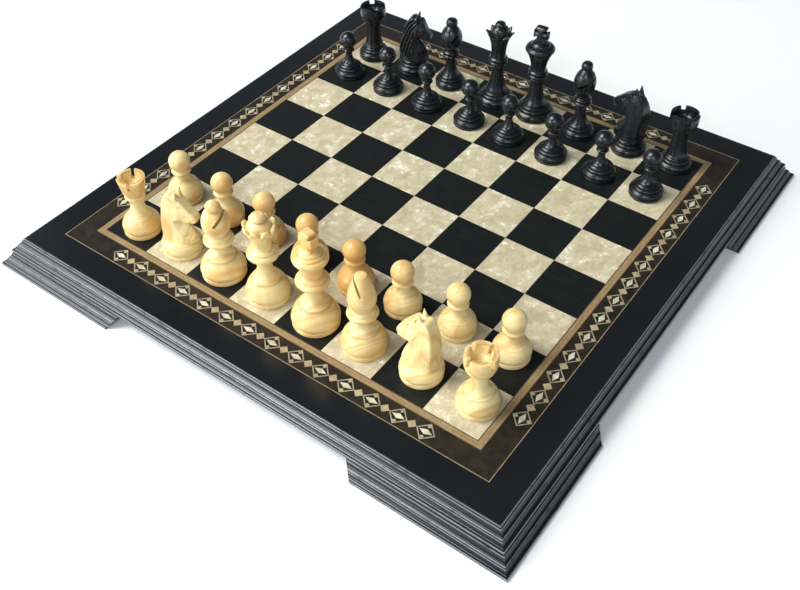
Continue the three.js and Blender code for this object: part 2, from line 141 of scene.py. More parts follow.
class Shader:
    """Builds one material's nodes."""

    def __init__(self, name: str) -> None:
        """Start an empty material.

        Args:
            name: The material's name.
        """
        self.material = bpy.data.materials.new(name)
        self.material.use_nodes = True
        self.tree = self.material.node_tree
        self.tree.nodes.clear()

    def node(
        self,
        kind: str,
        settings: dict | None = None,
        inputs: dict | None = None,
        output: int | str = 0,
    ) -> Signal:
        """Add a node of any type.

        Args:
            kind: The node's type.
            settings: Properties set first; "stops" fills a colour ramp.
            inputs: Values or signals by socket name or number.
            output: The output wanted.

        Returns:
            That output.
        """
        made = self.tree.nodes.new(kind)
        for name, value in (settings or {}).items():
            if name == "stops":
                self._fill_ramp(made.color_ramp, value)
            else:
                setattr(made, name, value)
        for key, value in (inputs or {}).items():
            if isinstance(value, Signal):
                self.tree.links.new(value.socket, made.inputs[key])
            elif isinstance(value, tuple) and made.inputs[key].type == "RGBA":
                made.inputs[key].default_value = (*value, 1.0)
            else:
                made.inputs[key].default_value = value
        return Signal(self, made.outputs[output])

    @staticmethod
    def _fill_ramp(ramp: bpy.types.ColorRamp, stops: Sequence[tuple[float, Colour]]) -> None:
        """Set a ramp's stops.

        Args:
            ramp: The ramp, which has two stops at first.
            stops: Positions and colours in order.
        """
        while len(ramp.elements) < len(stops):
            ramp.elements.new(1.0)
        for element, (position, colour) in zip(ramp.elements, stops):
            element.position = position
            element.color = (*colour, 1.0)

    def place(self) -> Signal:
        """Return the piece's own coordinates, in metres."""
        return self.node("ShaderNodeTexCoord", output="Object")

    def attribute(self, name: str) -> Signal:
        """Return a number stored on the mesh.

        Args:
            name: The attribute's name.

        Returns:
            Its value.
        """
        return self.node("ShaderNodeAttribute", {"attribute_name": name}, output="Fac")

    def scaled(self, vector: Signal, by: Colour, shift: Signal | None = None) -> Signal:
        """Stretch coordinates, and shift them by a number along a fixed direction.

        Args:
            vector: The coordinates.
            by: The stretch on each axis.
            shift: A number that moves the pattern, or None.

        Returns:
            The new coordinates.
        """
        stretched = self.node("ShaderNodeVectorMath", {"operation": "MULTIPLY"}, {0: vector, 1: by})
        if shift is None:
            return stretched
        offset = self.node(
            "ShaderNodeVectorMath", {"operation": "SCALE"}, {0: (37.0, 17.0, 53.0), "Scale": shift}
        )
        return self.node("ShaderNodeVectorMath", {"operation": "ADD"}, {0: stretched, 1: offset})

    def noise(
        self, vector: Signal, scale: float, detail: float = 3.0, twist: float = 0.0
    ) -> Signal:
        """Return soft noise from 0 to 1.

        Args:
            vector: The coordinates.
            scale: Features per unit.
            detail: Octaves.
            twist: Distortion.

        Returns:
            The noise.
        """
        return self.node(
            "ShaderNodeTexNoise",
            None,
            {"Vector": vector, "Scale": scale, "Detail": detail, "Distortion": twist},
        )

    def cells(self, vector: Signal, scale: float, output: str = "Distance") -> Signal:
        """Return a cell pattern.

        Args:
            vector: The coordinates.
            scale: Cells per unit.
            output: Distance to the cell's centre, or its random Color.

        Returns:
            That output.
        """
        return self.node("ShaderNodeTexVoronoi", None, {"Vector": vector, "Scale": scale}, output)

    def blend(self, factor: Signal | float, first: Signal | Colour, second: Signal | Colour) -> Signal:
        """Mix two colours.

        Args:
            factor: 0 for the first, 1 for the second.
            first: A colour.
            second: A colour.

        Returns:
            The mixture.
        """
        return self.node("ShaderNodeMix", {"data_type": "RGBA"}, {0: factor, 6: first, 7: second}, 2)

    def ramp(self, value: Signal, stops: Sequence[tuple[float, Colour]]) -> Signal:
        """Colour a value through a ramp.

        Args:
            value: 0 to 1.
            stops: Positions and colours.

        Returns:
            The colour.
        """
        return self.node("ShaderNodeValToRGB", {"stops": stops}, {0: value})

    def bump(self, height: Signal, depth: float) -> Signal:
        """Return a bumped normal.

        Args:
            height: The relief from 0 to 1.
            depth: Its depth in metres.

        Returns:
            The normal.
        """
        return self.node(
            "ShaderNodeBump", None, {"Height": height, "Distance": depth, "Strength": 1.0}
        )

    def finish(self, **sockets: Signal | float | Colour) -> bpy.types.Material:
        """Close the material with a Principled surface.

        Args:
            sockets: Its sockets, with underscores for spaces.

        Returns:
            The material.
        """
        inputs = {name.replace("_", " "): value for name, value in sockets.items()}
        surface = self.node("ShaderNodeBsdfPrincipled", None, inputs)
        output = self.tree.nodes.new("ShaderNodeOutputMaterial")
        self.tree.links.new(surface.socket, output.inputs["Surface"])
        return self.material


# ---------------------------------------------------------------- finishes
class Finish:
    """A surface finish, made once and shared by every piece that has it."""

    def paint(self, shader: Shader) -> bpy.types.Material:
        """Build the material.

        Args:
            shader: The empty material's builder.

        Returns:
            The finished material.
        """
        raise NotImplementedError

    @lru_cache(maxsize=None)
    def material(self) -> bpy.types.Material:
        """Return the finish's one material."""
        return self.paint(Shader(type(self).__name__))


@dataclass(frozen=True)
class Boxwood(Finish):
    """Pale golden turned boxwood with a wax polish."""

    pale: Colour = (0.82, 0.67, 0.33)
    honey: Colour = (0.66, 0.38, 0.115)
    recess_shade: Colour = (0.36, 0.17, 0.05)
    knot: Colour = (0.10, 0.045, 0.02)
    pith: Colour = (0.005, -0.003, 0.0)

    def paint(self, shader: Shader) -> bpy.types.Material:
        """Layer growth figure, fine grain, knots and painted shade in the grooves.

        Args:
            shader: The empty material's builder.

        Returns:
            The finished material.
        """
        blank = shader.attribute("blank")
        tone = shader.attribute("tone")
        place = shader.scaled(shader.place(), (1.0, 1.0, 0.3), blank)
        figure = shader.noise(place, 55.0, 2.0, 1.2)
        grain = shader.noise(shader.scaled(place, (6.0, 6.0, 1.0)), 260.0, 3.0)
        colour = shader.blend((figure - 0.36 + tone).between(0.03, 0.5), self.pale, self.honey)
        colour = shader.blend(grain.between(0.5, 0.75) * 0.35, colour, self.honey)
        colour = shader.blend(self.rings(shader, blank).between(0.44, 0.66) * 0.7, colour, self.honey)
        specks = 1.0 - shader.cells(place, 75.0).between(0.035, 0.075)
        rare = shader.noise(place, 36.0, 1.0).between(0.57, 0.63)
        colour = shader.blend(specks * rare * 0.75, colour, self.knot)
        # Painted shade: the turning's hollows and the horse's carved eye, nostrils and ears are darkened
        # towards brown.
        dip = shader.attribute("dip").between(0.1, 0.8)
        colour = shader.blend(dip * 0.6, colour, self.recess_shade)
        return shader.finish(
            Base_Color=colour,
            Roughness=0.24 + grain * 0.14 + dip * 0.2,
            Normal=shader.bump(grain, 0.00003),
            Specular_IOR_Level=0.5,
        )

    def rings(self, shader: Shader, blank: Signal) -> Signal:
        """Return the year rings, which run round a pith just off the turning axis.

        Args:
            shader: The material's builder.
            blank: The blank's own number.

        Returns:
            The rings from 0 to 1.
        """
        pith = shader.node(
            "ShaderNodeVectorMath", {"operation": "ADD"}, {0: shader.place(), 1: self.pith}
        )
        flat = shader.scaled(pith, (1.0, 1.0, 0.3))
        away = shader.node("ShaderNodeVectorMath", {"operation": "LENGTH"}, {0: flat}, "Value")
        lay = shader.node("ShaderNodeCombineXYZ", None, {"X": away, "Y": blank})
        return shader.noise(lay, 620.0, 3.0)


@dataclass(frozen=True)
class Ebonised(Finish):
    """Glossy black-stained wood with a hint of brown where it is rubbed."""

    black: Colour = (0.0055, 0.008, 0.0105)
    brown: Colour = (0.026, 0.022, 0.021)

    def paint(self, shader: Shader) -> bpy.types.Material:
        """Layer stain, rubbed brown and a thin polish.

        Args:
            shader: The empty material's builder.

        Returns:
            The finished material.
        """
        place = shader.scaled(shader.place(), (1.0, 1.0, 0.35), shader.attribute("blank"))
        figure = shader.noise(place, 90.0, 3.0, 0.6)
        grain = shader.noise(shader.scaled(place, (7.0, 7.0, 1.0)), 240.0, 4.0)
        wear_and_edge_highlight = (figure + shader.attribute("tone")).between(0.55, 0.85)
        colour = shader.blend(wear_and_edge_highlight * 0.7, self.black, self.brown)
        colour = shader.blend(grain.between(0.6, 0.85) * 0.3, colour, self.brown)
        return shader.finish(
            Base_Color=colour,
            Roughness=0.13 + grain * 0.14 + figure * 0.1,
            Normal=shader.bump(grain, 0.00003),
            Specular_IOR_Level=0.5,
        )


@dataclass(frozen=True)
class Pearl(Finish):
    """Mother-of-pearl veneer: cream flakes with bright glints."""

    cream: Colour = (0.60, 0.545, 0.385)
    grey: Colour = (0.42, 0.365, 0.235)
    glint: Colour = (0.92, 0.92, 0.84)
    flake_size: float = 0.0042

    def paint(self, shader: Shader) -> bpy.types.Material:
        """Lay bent flakes of varied tone, with the brightest as glints.

        Args:
            shader: The empty material's builder.

        Returns:
            The finished material.
        """
        place = shader.scaled(shader.place(), (1.0, 1.0, 0.0), shader.attribute("blank"))
        bent = shader.node(
            "ShaderNodeVectorMath",
            {"operation": "MULTIPLY_ADD"},
            {
                0: shader.node("ShaderNodeTexNoise", None, {"Vector": place, "Scale": 210.0}, "Color"),
                1: (0.005, 0.005, 0.0),
                2: shader.scaled(place, (1.0, 0.62, 1.0)),
            },
        )
        flake = shader.node(
            "ShaderNodeSeparateColor",
            None,
            {0: shader.cells(bent, 1.0 / self.flake_size, "Color")},
        )
        fine = shader.noise(place, 520.0, 4.0, 1.2)
        cloud = shader.noise(place, 110.0, 3.0, 1.0)
        shade = flake * 0.16 + cloud * 0.62 + fine * 0.4
        colour = shader.blend(shade.between(0.38, 0.8), self.grey, self.cream)
        glints = flake.between(0.45, 0.9) * cloud.between(0.49, 0.62) * fine.between(0.46, 0.66)
        colour = shader.blend(glints * 0.9, colour, self.glint)
        return shader.finish(
            Base_Color=colour,
            Roughness=0.42 - glints * 0.12 + fine * 0.08,
            Normal=shader.bump(fine, 0.00003),
            Specular_IOR_Level=0.3,
        )


@dataclass(frozen=True)
class DarkSquare(Finish):
    """Satin black veneer squares with a faint straight grain."""

    black: Colour = (0.0065, 0.0082, 0.0080)
    grey: Colour = (0.013, 0.0155, 0.015)

    def paint(self, shader: Shader) -> bpy.types.Material:
        """Lay straight grain under a satin varnish.

        Args:
            shader: The empty material's builder.

        Returns:
            The finished material.
        """
        place = shader.scaled(shader.place(), (1.0, 9.0, 1.0), shader.attribute("blank"))
        grain = shader.noise(place, 110.0, 4.0, 0.3)
        cloud = shader.noise(shader.place(), 30.0, 2.0)
        colour = shader.blend(grain.between(0.35, 0.75) * 0.7, self.black, self.grey)
        return shader.finish(
            Base_Color=colour,
            Roughness=0.27 + cloud * 0.1 + grain * 0.08,
            Normal=shader.bump(grain, 0.00002),
            Specular_IOR_Level=0.2,
        )


@dataclass(frozen=True)
class BlackLacquer(Finish):
    """Satin black lacquer over open-grained wood, with a painted highlight along its edges."""

    black: Colour = (0.006, 0.0075, 0.009)
    slate: Colour = (0.0105, 0.013, 0.0155)
    wear_and_edge_highlight: Colour = (0.5, 0.57, 0.66)

    def paint(self, shader: Shader) -> bpy.types.Material:
        """Layer blotches, pores and a painted highlight on the arrises.

        Args:
            shader: The empty material's builder.

        Returns:
            The finished material.
        """
        place = shader.place()
        cloud = shader.noise(place, 14.0, 3.0, 0.4)
        pores = shader.noise(place, 900.0, 3.0)
        # Painted highlight: a pale bluish line along each outer arris of the moulding, broken up by noise.
        edge = shader.attribute("arris") * shader.noise(place, 160.0, 3.0).between(0.15, 0.5)
        colour = shader.blend(cloud.between(0.3, 0.8) * 0.5, self.black, self.slate)
        colour = shader.blend(edge * 0.55, colour, self.wear_and_edge_highlight)
        return shader.finish(
            Base_Color=colour,
            Roughness=0.13 + cloud * 0.04 + pores * 0.05,
            Normal=shader.bump(pores, 0.00002),
            Specular_IOR_Level=0.5,
        )


@dataclass(frozen=True)
class TanStringing(Finish):
    """Tan veneer strips laid side by side between thin dark lines."""

    tan: Colour = (0.36, 0.255, 0.13)
    gold: Colour = (0.2, 0.13, 0.06)
    line: Colour = (0.05, 0.03, 0.016)

    def paint(self, shader: Shader) -> bpy.types.Material:
        """Stripe the strip across its width and streak it along its length.

        Args:
            shader: The empty material's builder.

        Returns:
            The finished material.
        """
        across = shader.attribute("across")
        along = shader.attribute("along")
        lay = shader.node("ShaderNodeCombineXYZ", None, {"X": along, "Y": across * 0.05})
        streak = shader.noise(lay, 420.0, 4.0, 0.2)
        slow = shader.noise(lay, 60.0, 2.0, 0.2)
        colour = shader.blend((streak * 0.6 + slow * 0.4).between(0.35, 0.65), self.tan, self.gold)
        stripes = shader.ramp(
            across,
            (
                (0.0, (1.0, 1.0, 1.0)), (0.1, (0.75, 0.75, 0.75)), (0.17, (0.0, 0.0, 0.0)),
                (0.42, (0.0, 0.0, 0.0)), (0.5, (0.3, 0.3, 0.3)), (0.58, (0.02, 0.02, 0.02)),
                (0.86, (0.0, 0.0, 0.0)), (0.95, (0.8, 0.8, 0.8)), (1.0, (1.0, 1.0, 1.0)),
            ),
        )
        colour = shader.blend(stripes, colour, self.line)
        return shader.finish(
            Base_Color=colour,
            Roughness=0.38 + streak * 0.12,
            Normal=shader.bump(streak, 0.00002),
            Specular_IOR_Level=0.4,
        )


@dataclass(frozen=True)
class InlayVeneer(Finish):
    """One veneer of the inlaid band, with mottled tone and short grain."""

    tone: Colour
    shade: Colour
    rough: float = 0.4

    def paint(self, shader: Shader) -> bpy.types.Material:
        """Mottle the veneer finely.

        Args:
            shader: The empty material's builder.

        Returns:
            The finished material.
        """
        place = shader.place()
        mottle = shader.noise(place, 160.0, 3.0, 0.6)
        fine = shader.noise(place, 900.0, 2.0)
        colour = shader.blend((mottle * 0.7 + fine * 0.3).between(0.32, 0.68), self.tone, self.shade)
        return shader.finish(
            Base_Color=colour,
            Roughness=self.rough + mottle * 0.12,
            Normal=shader.bump(fine, 0.00002),
            Specular_IOR_Level=0.22,
        )


@dataclass(frozen=True)
class CorePly(Finish):
    """The brown board under the veneers, seen from below."""

    brown: Colour = (0.16, 0.095, 0.05)
    dark: Colour = (0.08, 0.045, 0.022)

    def paint(self, shader: Shader) -> bpy.types.Material:
        """Streak the underside with long grain.

        Args:
            shader: The empty material's builder.

        Returns:
            The finished material.
        """
        grain = shader.noise(shader.scaled(shader.place(), (1.0, 12.0, 1.0)), 30.0, 5.0, 0.4)
        fine = shader.noise(shader.scaled(shader.place(), (3.0, 40.0, 3.0)), 60.0, 3.0)
        colour = shader.blend((grain * 0.7 + fine * 0.3).between(0.3, 0.7), self.brown, self.dark)
        return shader.finish(
            Base_Color=colour, Roughness=0.62 + fine * 0.15, Normal=shader.bump(fine, 0.00008)
        )


@dataclass(frozen=True)
class StudioPaper(Finish):
    """White seamless paper under the set."""

    white: Colour = (0.74, 0.745, 0.75)
    shade: Colour = (0.68, 0.69, 0.7)
    glow: Colour = (0.86, 0.94, 1.0)
    glow_strength: float = 0.13

    def paint(self, shader: Shader) -> bpy.types.Material:
        """Give the paper a barely visible tooth.

        Args:
            shader: The empty material's builder.

        Returns:
            The finished material.
        """
        tooth = shader.noise(shader.place(), 300.0, 2.0)
        colour = shader.blend(tooth * 0.05, self.white, self.shade)
        return shader.finish(
            Base_Color=colour,
            Roughness=0.85 + tooth * 0.1,
            Specular_IOR_Level=0.1,
            Emission_Color=self.glow,
            Emission_Strength=self.glow_strength,
        )


BOXWOOD = Boxwood()
EBONISED = Ebonised()
LACQUER = BlackLacquer()
BAND_GROUND = InlayVeneer((0.0135, 0.0108, 0.008), (0.026, 0.02, 0.014), 0.3)
INLAY_TAN = InlayVeneer((0.42, 0.34, 0.21), (0.27, 0.21, 0.125))
INLAY_GREY = InlayVeneer((0.36, 0.32, 0.225), (0.22, 0.185, 0.12))
INLAY_GOLD = InlayVeneer((0.33, 0.26, 0.15), (0.2, 0.15, 0.08))
INLAY_PEARL = InlayVeneer((0.66, 0.63, 0.49), (0.36, 0.33, 0.235))


# ---------------------------------------------------------------- outlines
class Mark(NamedTuple):
    """A point of an outline, across and up, that is either flowing or an edge."""

    across: float
    up: float
    edge: bool = False


def flow(across: float, up: float) -> Mark:
    """Return a point that a curve flows through."""
    return Mark(across, up)


def edge(across: float, up: float) -> Mark:
    """Return a point where the outline breaks."""
    return Mark(across, up, True)


def curve_through(points: np.ndarray, steps: int, closed: bool = False) -> np.ndarray:
    """Run a smooth curve through points.

    Args:
        points: The points in order.
        steps: Samples between two points.
        closed: Whether the last joins the first.

    Returns:
        The samples.
    """
    count = len(points)
    if count < 3 and not closed:
        return points
    if closed:
        padded = np.vstack([points[-1], points, points[:2]])
    else:
        first, last = 2 * points[0] - points[1], 2 * points[-1] - points[-2]
        padded = np.vstack([first, points, last])
    made = []
    for i in range(len(padded) - 3):
        p0, p1, p2, p3 = padded[i : i + 4]
        for t in np.arange(steps) / steps:
            made.append(
                0.5
                * (
                    2 * p1
                    + (p2 - p0) * t
                    + (2 * p0 - 5 * p1 + 4 * p2 - p3) * t**2
                    + (3 * p1 - p0 - 3 * p2 + p3) * t**3
                )
            )
    if not closed:
        made.append(points[-1])
    return np.array(made)


def softened(corner: np.ndarray, before: np.ndarray, after: np.ndarray, radius: float) -> np.ndarray:
    """Round one corner.

    Args:
        corner: The corner.
        before: The point before it.
        after: The point after it.
        radius: How far back the rounding starts.

    Returns:
        Three points that replace the corner.
    """
    to_before, to_after = before - corner, after - corner
    back = min(radius, 0.35 * np.linalg.norm(to_before), 0.35 * np.linalg.norm(to_after))
    start = corner + to_before / max(np.linalg.norm(to_before), 1e-9) * back
    stop = corner + to_after / max(np.linalg.norm(to_after), 1e-9) * back
    return np.array([start, (start + 2 * corner + stop) / 4, stop])


def drawn(marks: Sequence[Mark], steps: int, radius: float) -> np.ndarray:
    """Turn marks into a fine outline, with its edges slightly rounded.

    Args:
        marks: The outline.
        steps: Samples between two flowing points.
        radius: The rounding of the edges.

    Returns:
        The outline's points.
    """
    breaks = [i for i, mark in enumerate(marks) if mark.edge or i in (0, len(marks) - 1)]
    pieces = []
    for start, stop in zip(breaks, breaks[1:]):
        run = np.array([mark[:2] for mark in marks[start : stop + 1]], float)
        pieces.append(curve_through(run, steps))
    outline = [pieces[0][:-1]]
    for before, after in zip(pieces, pieces[1:]):
        outline.append(softened(after[0], before[-2], after[1], radius))
        outline.append(after[1:-1])
    outline.append(pieces[-1][-1:])
    return np.vstack(outline)


# ---------------------------------------------------------------- meshes
class MeshPiece:
    """Faces being gathered into one named piece."""

    def __init__(self, name: str) -> None:
        """Start an empty piece.

        Args:
            name: The piece's name.
        """
        self.name = name
        self.points: list[Sequence[float]] = []
        self.faces: list[tuple[int, ...]] = []
        self.values: dict[str, list[float]] = {}

    def add(
        self, points: Sequence[Sequence[float]], faces: Iterable[Sequence[int]], **values: Sequence[float]
    ) -> None:
        """Add points and the faces between them.

        Args:
            points: Points in metres.
            faces: Corner numbers within these points.
            values: Attribute values, one for each point.
        """
        start = len(self.points)
        self.points.extend(tuple(map(float, point)) for point in points)
        self.faces.extend(tuple(start + int(i) for i in face) for face in faces)
        for key, listed in values.items():
            self.values.setdefault(key, []).extend(float(value) for value in listed)

    def solid(self) -> bpy.types.Object:
        """Make the bare object at the origin.

        Returns:
            The object, without a finish.
        """
        mesh = bpy.data.meshes.new(self.name)
        mesh.from_pydata(self.points, [], self.faces)
        mesh.validate()
        for key, listed in self.values.items():
            attribute = mesh.attributes.new(key, "FLOAT", "POINT")
            attribute.data.foreach_set("value", np.array(listed, np.float32))
        made = bpy.data.objects.new(self.name, mesh)
        bpy.context.scene.collection.objects.link(made)
        return made

    @staticmethod
    def sawn(piece: bpy.types.Object, saws: Sequence["MeshPiece"]) -> None:
        """Cut shapes out of an object at the origin.

        Args:
            piece: The object, whose mesh is replaced.
            saws: The closed shapes.
        """
        if not saws:
            return
        cutters = [saw.solid() for saw in saws]
        for cutter in cutters:
            sawing = piece.modifiers.new("saw", "BOOLEAN")
            sawing.operation = "DIFFERENCE"
            sawing.solver = "EXACT"
            sawing.object = cutter
        graph = bpy.context.evaluated_depsgraph_get()
        cut = bpy.data.meshes.new_from_object(piece.evaluated_get(graph))
        piece.modifiers.clear()
        piece.data = cut
        for cutter in cutters:
            bpy.data.objects.remove(cutter)

    def build(
        self,
        finish: Finish,
        body: str,
        slot: str,
        stands_for: Sequence[str] = (),
        place: Vector | None = None,
        turn: float = 0.0,
        crease: float = 32.0,
        saws: Sequence["MeshPiece"] = (),
    ) -> bpy.types.Object:
        """Make the object, dress it and let it ride on its body.

        Args:
            finish: Its finish.
            body: The body that it moves with.
            slot: The record's material slot; not used.
            stands_for: The nodes that it replaces.
            place: Where its origin stands.
            turn: Its turn about the vertical, in radians.
            crease: Edges sharper than this many degrees stay crisp.
            saws: Closed shapes cut out of it, in its own coordinates.

        Returns:
            The object.
        """
        piece = self.solid()
        self.sawn(piece, saws)
        mesh = piece.data
        mesh.shade_smooth()
        mesh.set_sharp_from_angle(angle=math.radians(crease))
        mesh.materials.clear()
        mesh.materials.append(finish.material())
        piece.location = place or Vector()
        piece.rotation_euler = Euler((0.0, 0.0, turn))
        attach(piece, body)
        if stands_for:
            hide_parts(*stands_for)
        log.info("%s rides on %s: %d faces", self.name, body, len(mesh.polygons))
        return piece


def bridged(rows: int, columns: int, closed: bool = True) -> list[tuple[int, int, int, int]]:
    """List the quads between rows of points.

    Args:
        rows: How many rows.
        columns: Points in each.
        closed: Whether each row is a ring.

    Returns:
        The faces.
    """
    faces = []
    for row in range(rows - 1):
        for column in range(columns if closed else columns - 1):
            beside = (column + 1) % columns
            here, above = row * columns, (row + 1) * columns
            faces.append((here + column, here + beside, above + beside, above + column))
    return faces


# ---------------------------------------------------------------- the board
class Side(Enum):
    """A side of the board, with its number of quarter turns from the front."""

    FRONT = 0
    RIGHT = 1
    BACK = 2
    LEFT = 3

    @property
    def word(self) -> str:
        """Return the side's name as the nodes spell it."""
        return self.name.lower()

    def turned(self, x: float, y: float, z: float) -> tuple[float, float, float]:
        """Carry a point of the front side round to this side.

        Args:
            x: Across.
            y: Back.
            z: Up.

        Returns:
            The turned point.
        """
        for _ in range(self.value):
            x, y = -y, x
        return x, y, z


@dataclass
class BoardSizes:
    """The board's sizes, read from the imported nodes, in metres."""

    half: float = field(init=False)
    square: float = field(init=False)
    top: float = field(init=False)
    stringing: float = field(init=False)
    band: float = field(init=False)
    foot_top: float = field(init=False)
    foot_reach: float = field(init=False)
    foot_width: float = field(init=False)
    foot_length: float = field(init=False)

    def __post_init__(self) -> None:
        """Measure the nodes."""
        _, field_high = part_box("playing_field")
        self.half = field_high.x
        self.square = 2 * self.half / SQUARES_A_SIDE
        self.top = field_high.z
        self.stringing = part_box("stringing_right")[1].x - self.half
        self.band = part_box("inlay_band_right")[1].x - self.half
        foot_low, foot_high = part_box("foot_front_right_on_right")
        self.foot_top = foot_high.z
        self.foot_reach = foot_high.x - self.half
        self.foot_width = foot_high.x - foot_low.x
        self.foot_length = foot_high.y - foot_low.y


@dataclass
class PlayingField:
    """Sixty-four veneer squares, light and dark."""

    sizes: BoardSizes
    seam: float = 0.05 * MM
    arris: float = 0.12 * MM
    depth: float = 1.2 * MM

    def tile(self, piece: MeshPiece, file: int, rank: int, seed: float) -> None:
        """Add one square with a softened edge.

        Args:
            piece: The piece that gathers it.
            file: Its file from 0.
            rank: Its rank from 0.
            seed: The veneer's own number.
        """
        middle = (SQUARES_A_SIDE - 1) / 2
        centre_x = (file - middle) * self.sizes.square
        centre_y = (rank - middle) * self.sizes.square
        half = self.sizes.square / 2 - self.seam
        top = self.sizes.top
        levels = ((half, top - self.depth), (half, top - self.arris), (half - self.arris, top))
        points = [
            (centre_x + sx * reach, centre_y + sy * reach, z)
            for reach, z in levels
            for sx, sy in ((-1, -1), (1, -1), (1, 1), (-1, 1))
        ]
        last = 4 * (len(levels) - 1)
        faces = [*bridged(len(levels), 4), (last, last + 1, last + 2, last + 3), (3, 2, 1, 0)]
        piece.add(points, faces, blank=[seed] * len(points))

    def build(self) -> None:
        """Lay the squares; the near left one is dark."""
        chance = np.random.default_rng(64)
        light, dark = MeshPiece("light_squares"), MeshPiece("dark_squares")
        for rank in range(SQUARES_A_SIDE):
            for file in range(SQUARES_A_SIDE):
                self.tile(dark if (file + rank) % 2 == 0 else light, file, rank, chance.random())
        light.build(Pearl(), "board", "square_veneer", ["playing_field"])
        dark.build(DarkSquare(), "board", "square_veneer")


@dataclass
class InlaidBand:
    """The tan stringing, the dark band and its inlaid rows, and the fine pale line.

    The motifs' sizes are shares of a square, and a motif's own parts are shares of its reach.
    """

    sizes: BoardSizes
    depth: float = 1.2 * MM
    sunk: float = 0.3 * MM
    proud: float = 0.04 * MM
    line_width: float = 0.5 * MM
    count: int = 14
    pitch_share: float = 0.505
    reach_share: float = 0.172
    diamond_share: float = 0.085
    frame_inside: float = 0.84
    pearl_long: float = 0.68
    pearl_wide: float = 0.3
    lozenge: float = 0.21
    lozenge_out: float = 0.83

    def __post_init__(self) -> None:
        """Work out the rows."""
        self.pitch = self.pitch_share * self.sizes.square
        self.middle = (self.sizes.stringing + self.sizes.band) / 2
        self.reach = self.reach_share * self.sizes.square

    def strip(self, piece: MeshPiece, side: Side, inner: float, outer: float, top: float) -> None:
        """Add a mitred strip along one side.

        Args:
            piece: The piece that gathers it.
            side: The side it lies on.
            inner: Its inner edge from the field.
            outer: Its outer edge from the field.
            top: Its height.
        """
        half = self.sizes.half
        points, across, along = [], [], []
        for reach, z in (
            (inner, top - self.depth), (inner, top), (outer, top), (outer, top - self.depth)
        ):
            for end in (-1, 1):
                points.append(side.turned(end * (half + reach), -(half + reach), z))
                across.append((reach - inner) / (outer - inner))
                along.append(end * (half + reach))
        faces = [(0, 1, 3, 2), (2, 3, 5, 4), (4, 5, 7, 6), (6, 7, 1, 0), (0, 2, 4, 6), (7, 5, 3, 1)]
        piece.add(points, faces, across=across, along=along)

    def flat_shape(
        self, piece: MeshPiece, side: Side, centre: float, outline: Sequence[tuple[float, float]]
    ) -> None:
        """Inlay one flat shape in the band.

        Args:
            piece: The piece that gathers it.
            side: The side it lies on.
            centre: Its middle along the side.
            outline: Its corners, along and out from its middle.
        """
        out = self.sizes.half + self.middle
        top = self.sizes.top
        count = len(outline)
        points = [
            side.turned(centre + along, -(out + away), z)
            for z in (top - self.sunk, top + self.proud)
            for along, away in outline
        ]
        faces = [*bridged(2, count), tuple(range(count, 2 * count)), tuple(range(count - 1, -1, -1))]
        piece.add(points, faces)

    def frame(self, piece: MeshPiece, side: Side, centre: float) -> None:
        """Inlay a diamond's outline as four thin bars.

        Args:
            piece: The piece that gathers it.
            side: The side it lies on.
            centre: Its middle along the side.
        """
        outer, inner = self.reach, self.reach * self.frame_inside
        corners = ((1, 0), (0, 1), (-1, 0), (0, -1))
        for (ax, ay), (bx, by) in zip(corners, (*corners[1:], corners[0])):
            bar = [(ax * outer, ay * outer), (bx * outer, by * outer)]
            bar += [(bx * inner, by * inner), (ax * inner, ay * inner)]
            self.flat_shape(piece, side, centre, bar)

    def motif(self, pieces: dict[str, MeshPiece], side: Side, centre: float) -> None:
        """Inlay one motif: a frame, a pearl and two corner lozenges.

        Args:
            pieces: The gathering pieces by name.
            side: The side it lies on.
            centre: Its middle along the side.
        """
        reach = self.reach
        self.frame(pieces["frames"], side, centre)
        pearl_long, pearl_wide = self.pearl_long * reach, self.pearl_wide * reach
        pearl = [(pearl_long, 0), (0, pearl_wide), (-pearl_long, 0), (0, -pearl_wide)]
        self.flat_shape(pieces["pearls"], side, centre, pearl)
        size = self.lozenge * reach
        for way in (-1, 1):
            away = way * (self.lozenge_out * reach - size)
            lozenge = [(size, away), (0, away + size), (-size, away), (0, away - size)]
            self.flat_shape(pieces["lozenges"], side, centre, lozenge)

    def build(self) -> None:
        """Lay the strips and inlay the rows."""
        sizes = self.sizes
        for side in Side:
            string = MeshPiece(f"stringing_{side.word}_strip")
            self.strip(string, side, 0.0, sizes.stringing, sizes.top)
            string.build(TanStringing(), "board", "tan_stringing", [f"stringing_{side.word}"])
            ground = MeshPiece(f"band_ground_{side.word}")
            self.strip(ground, side, sizes.stringing, sizes.band, sizes.top)
            ground.build(BAND_GROUND, "board", "dark_band", [f"inlay_band_{side.word}"])
        pieces = {
            key: MeshPiece(f"inlaid_{key}") for key in ("frames", "pearls", "lozenges", "line")
        }
        small = self.diamond_share * sizes.square
        diamond = [(small, 0), (0, small), (-small, 0), (0, -small)]
        for side in Side:
            for number in range(self.count):
                centre = (number - (self.count - 1) / 2) * self.pitch
                self.motif(pieces, side, centre)
                if number:
                    self.flat_shape(pieces["lozenges"], side, centre - self.pitch / 2, diamond)
            self.strip(
                pieces["line"], side, sizes.band, sizes.band + self.line_width, sizes.top + self.proud
            )
        pieces["frames"].build(INLAY_GREY, "board", "tan_stringing")
        pieces["lozenges"].build(INLAY_TAN, "board", "tan_stringing")
        pieces["pearls"].build(INLAY_PEARL, "board", "square_veneer")
        pieces["line"].build(INLAY_GOLD, "board", "tan_stringing")


